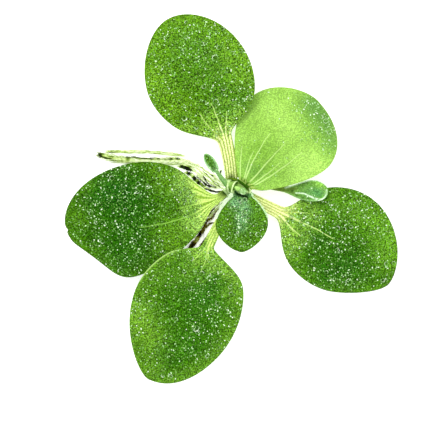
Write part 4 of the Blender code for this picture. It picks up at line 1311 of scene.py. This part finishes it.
def hair_of(name, leaf, rng):
    """Scatters a leaf's tufts, more in clumps and at its painted sheen and shade, and sets whorls at its
    marks.
    """
    tries = leaf["tufts"] * CHOICES_PER_TUFT
    across = rng.uniform(*HAIR_ACROSS, tries)
    along = rng.uniform(*HAIR_ALONG, tries)
    points, normals, area = leaf_places(leaf, across, along)
    centres = points[rng.integers(0, tries, CLUMPS)]
    clumps = [(x, y, CLUMP_RADIUS * rng.uniform(*CLUMP_SIZES), CLUMP_STRENGTH) for x, y, _ in centres]
    haired = np.clip((along - BARE_STALK) / BARE_STALK_EDGE + 0.5 - 0.5 * np.abs(across), 0.0, 1.0)
    density = leaf["scattered"] + soft_spots(points, clumps) * leaf["clumped"]
    density += soft_spots(points, leaf["sheen_and_shade"]) * leaf["at_sheen_and_shade"]
    weight = area * haired * density
    odds = weight / weight.sum()

    # Few tufts are wide and white, and most are small and as green as the leaf.
    chosen = rng.choice(tries, leaf["tufts"], replace=False, p=odds)
    tones = rng.power(WHITE_TUFTS, len(chosen))
    sizes = LEAST_TUFT + (1.0 - LEAST_TUFT) * tones + rng.uniform(*TUFT_UNEVEN, len(chosen))
    tones = leaf["least_tone"] + (1.0 - leaf["least_tone"]) * tones
    frames = upright_frames(normals[chosen], rng)
    frames[:, :, 0] *= rng.uniform(*TUFT_STRETCH, len(chosen))[:, None]
    grown = [clusters_joined(name + "_hair", tuft, points[chosen], frames, sizes, tones)]

    # A whorl is brightest on one side, where its hairs catch the light. Those at the marks are the palest.
    marked = [np.hypot(points[:, 0] - x, points[:, 1] - y).argmin() for x, y, _ in leaf["marks"]]
    chosen = np.array([*marked, *rng.choice(tries, leaf["whorls"], replace=False, p=odds)], dtype=int)
    sizes = np.array([*(size for _, _, size in leaf["marks"]), *rng.uniform(*WHORL_SIZES, leaf["whorls"])])
    around = np.arctan2(whorl[0][:, 1], whorl[0][:, 0])
    lit = 0.5 + 0.5 * np.cos(around[None] - rng.uniform(0, 2 * np.pi, len(chosen))[:, None])
    at_mark = (np.arange(len(chosen)) < len(marked))[:, None]
    tones = np.where(at_mark, 0.5 + 0.5 * lit, 0.1 + 0.6 * lit)
    frames = upright_frames(normals[chosen], rng)
    grown.append(clusters_joined(name + "_whorls", whorl, points[chosen], frames, sizes, tones))
    return grown


# Leaf hair: fine and dull, as green as the leaf below it where it is thin and white at its tips.
HAIR_RAMP = [(0.55, "86c054"), (0.85, "ccf0b8")]
leaf_hair = new_material("white_leaf_hair")
hair_shader = leaf_hair.node_tree.nodes["Principled BSDF"]
hair_tone = add_node(leaf_hair, "Attribute", output="Fac", attribute_name="tone")
hair_colour = add_node(leaf_hair, "ValToRGB", (hair_tone,))
elements = hair_colour.node.color_ramp.elements
elements[0].color = linear("3e780e")
elements[1].color = linear("f6ffec")
for position, hex_colour in HAIR_RAMP:
    elements.new(position).color = linear(hex_colour)
leaf_hair.node_tree.links.new(hair_colour, hair_shader.inputs["Base Color"])
hair_shader.inputs["Roughness"].default_value = 0.5
hair_shader.inputs["Specular IOR Level"].default_value = 0.05

tuft = modelled_cluster(**TUFT)
whorl = modelled_cluster(**WHORL)
single_hair = modelled_cluster(hairs=1, ring=0.0, lean=0.0, length=1.0, width=1.0)
HAIRY_LEAVES = {**LARGE_LEAVES, "leaf_upper_right": BRIGHT_LEAF, **YOUNG_LEAVES}

for name, leaf in HAIRY_LEAVES.items():
    for obj in hair_of(name, leaf, np.random.default_rng(leaf["seed"])):
        obj.data.materials.append(leaf_hair)
        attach(obj, "root")

# Rows of longer hair: the leaf and the row's name, on its left (-1) or right (1) edge, its span along that
# edge, then the hairs' number, length and least tone.
FRINGES = [
    ("leaf_centre", "left_fringe", -1.0, (0.0, 0.48), 420, 0.6, 0.5),
    ("leaf_centre", "right_fringe", 1.0, (0.0, 0.5), 420, 0.8, 0.85),
    ("leaf_centre", "right_beard", 1.0, (0.0, 0.26), 460, 1.2, 0.9),
    ("leaf_young_furled", "left_fringe", -1.0, (0.4, 0.98), 150, 0.4, 0.4),
    ("leaf_young_furled", "right_fringe", 1.0, (0.4, 0.98), 150, 0.4, 0.4),
    ("leaf_young_folded", "left_fringe", -1.0, (0.5, 0.99), 170, 0.24, 0.4),
    ("leaf_young_folded", "right_fringe", 1.0, (0.78, 0.99), 90, 0.24, 0.4),
]
FRINGE_WIDTH = 0.13
FRINGE_SPREAD = 0.35  # how unevenly the hairs lean, where their outward lean is 1
FRINGE_RISE = 0.25
FRINGE_SINK = 0.3  # how far down the leaf's edge they may stand
FRINGE_ROOT = 0.05  # how deep they start inside the leaf
FRINGE_LENGTHS = (0.5, 1.3)

for name, row_name, side, (near, far), count, length, least_tone in FRINGES:
    leaf = HAIRY_LEAVES[name]
    rng = np.random.default_rng(count + len(row_name))
    along = near + (far - near) * rng.uniform(0.0, 1.0, count)
    rim = leaf_sheet(leaf, np.full(count, side), along)[0]
    outwards = rim - leaf_sheet(leaf, np.full(count, 0.8 * side), along)[0]
    outwards /= np.linalg.norm(outwards, axis=1)[:, None]
    leaning = outwards + rng.normal(0.0, FRINGE_SPREAD, (count, 3)) + (0.0, 0.0, FRINGE_RISE)
    leaning /= np.linalg.norm(leaning, axis=1)[:, None]
    rim[:, 2] -= rng.uniform(0.0, FRINGE_SINK, count)
    sizes = length * rng.uniform(*FRINGE_LENGTHS, count)
    frames = upright_frames(leaning, rng)
    frames[:, :, :2] *= (FRINGE_WIDTH / sizes)[:, None, None]
    tones = least_tone + (1.0 - least_tone) * rng.power(2.0, count)
    obj = clusters_joined(
        f"{name}_{row_name}", single_hair, rim - leaning * FRINGE_ROOT, frames, sizes, tones
    )
    obj.data.materials.append(leaf_hair)
    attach(obj, "root")

# Down on the bud, on the upper part of its knob.
DOWN_TUFTS = 130
DOWN_SIZES = (0.3, 0.75)
DOWN_TONES = (0.3, 1.0)
rng = np.random.default_rng(31)
skin_places = np.array([face.center for face in bud.data.polygons]) / MM
skin_normals = np.array([face.normal for face in bud.data.polygons])
chosen = rng.choice(np.flatnonzero(skin_normals[:, 2] > 0.1), DOWN_TUFTS, replace=False)
down = clusters_joined(
    "bud_down", tuft, skin_places[chosen], upright_frames(skin_normals[chosen], rng),
    rng.uniform(*DOWN_SIZES, DOWN_TUFTS), rng.uniform(*DOWN_TONES, DOWN_TUFTS),
)
down.data.materials.append(leaf_hair)
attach(down, "root")


# ---------------------------------------------------------------------------------------------------
# Floor, light and camera. The plant lies on a white light table under one large soft light from above and a
# bright surround, and the camera looks straight down on it.
# ---------------------------------------------------------------------------------------------------
PHOTO_WIDTH, PHOTO_HEIGHT = 440, 437
MM_PER_PIXEL = 0.25
ORIGIN_PIXEL = (238, 190)
CAMERA_HEIGHT = 1.0
PLANT_MIDDLE_HEIGHT = 0.0045
SENSOR_WIDTH = 36.0
FLOOR_SIZE = 4.0
FLOOR_GAP = 0.00005  # the floor is this far below the plant, so that no two faces lie in one plane

bpy.ops.object.select_all(action="DESELECT")
bpy.ops.mesh.primitive_plane_add(size=FLOOR_SIZE, location=(0.0, 0.0, -FLOOR_GAP))
floor = bpy.context.object
floor.name = "floor"
white_table = new_material("white_table")  # dull white plastic, lit from inside
table_shader = white_table.node_tree.nodes["Principled BSDF"]
table_shader.inputs["Base Color"].default_value = (0.9, 0.9, 0.9, 1.0)
table_shader.inputs["Roughness"].default_value = 0.8
table_shader.inputs["Emission Color"].default_value = (1.0, 1.0, 1.0, 1.0)
table_shader.inputs["Emission Strength"].default_value = 0.6
floor.data.materials.append(white_table)

surround = bpy.data.worlds.new("surround")
bpy.context.scene.world = surround
surround.use_nodes = True
surround.node_tree.nodes["Background"].inputs["Color"].default_value = (1.0, 1.0, 1.0, 1.0)
surround.node_tree.nodes["Background"].inputs["Strength"].default_value = 1.15

lamp = bpy.data.lights.new("soft_light", "AREA")
lamp.shape = "DISK"
lamp.size = 0.45
lamp.energy = 2.6
soft_light = bpy.data.objects.new("soft_light", lamp)
bpy.context.scene.collection.objects.link(soft_light)
soft_light.location = (-0.22, 0.28, 0.62)
soft_light.rotation_euler = (-soft_light.location).to_track_quat("-Z", "Y").to_euler()

camera = bpy.data.cameras.new("camera")
camera.sensor_width = SENSOR_WIDTH
camera.lens = SENSOR_WIDTH * (CAMERA_HEIGHT - PLANT_MIDDLE_HEIGHT) / (PHOTO_WIDTH * MM_PER_PIXEL * MM)
camera.clip_start = 0.01
camera_object = bpy.data.objects.new("camera", camera)
bpy.context.scene.collection.objects.link(camera_object)
camera_object.location = (
    (PHOTO_WIDTH / 2 - ORIGIN_PIXEL[0]) * MM_PER_PIXEL * MM,
    (ORIGIN_PIXEL[1] - PHOTO_HEIGHT / 2) * MM_PER_PIXEL * MM,
    CAMERA_HEIGHT,
)
bpy.context.scene.camera = camera_object
bpy.context.scene.view_settings.view_transform = "Standard"
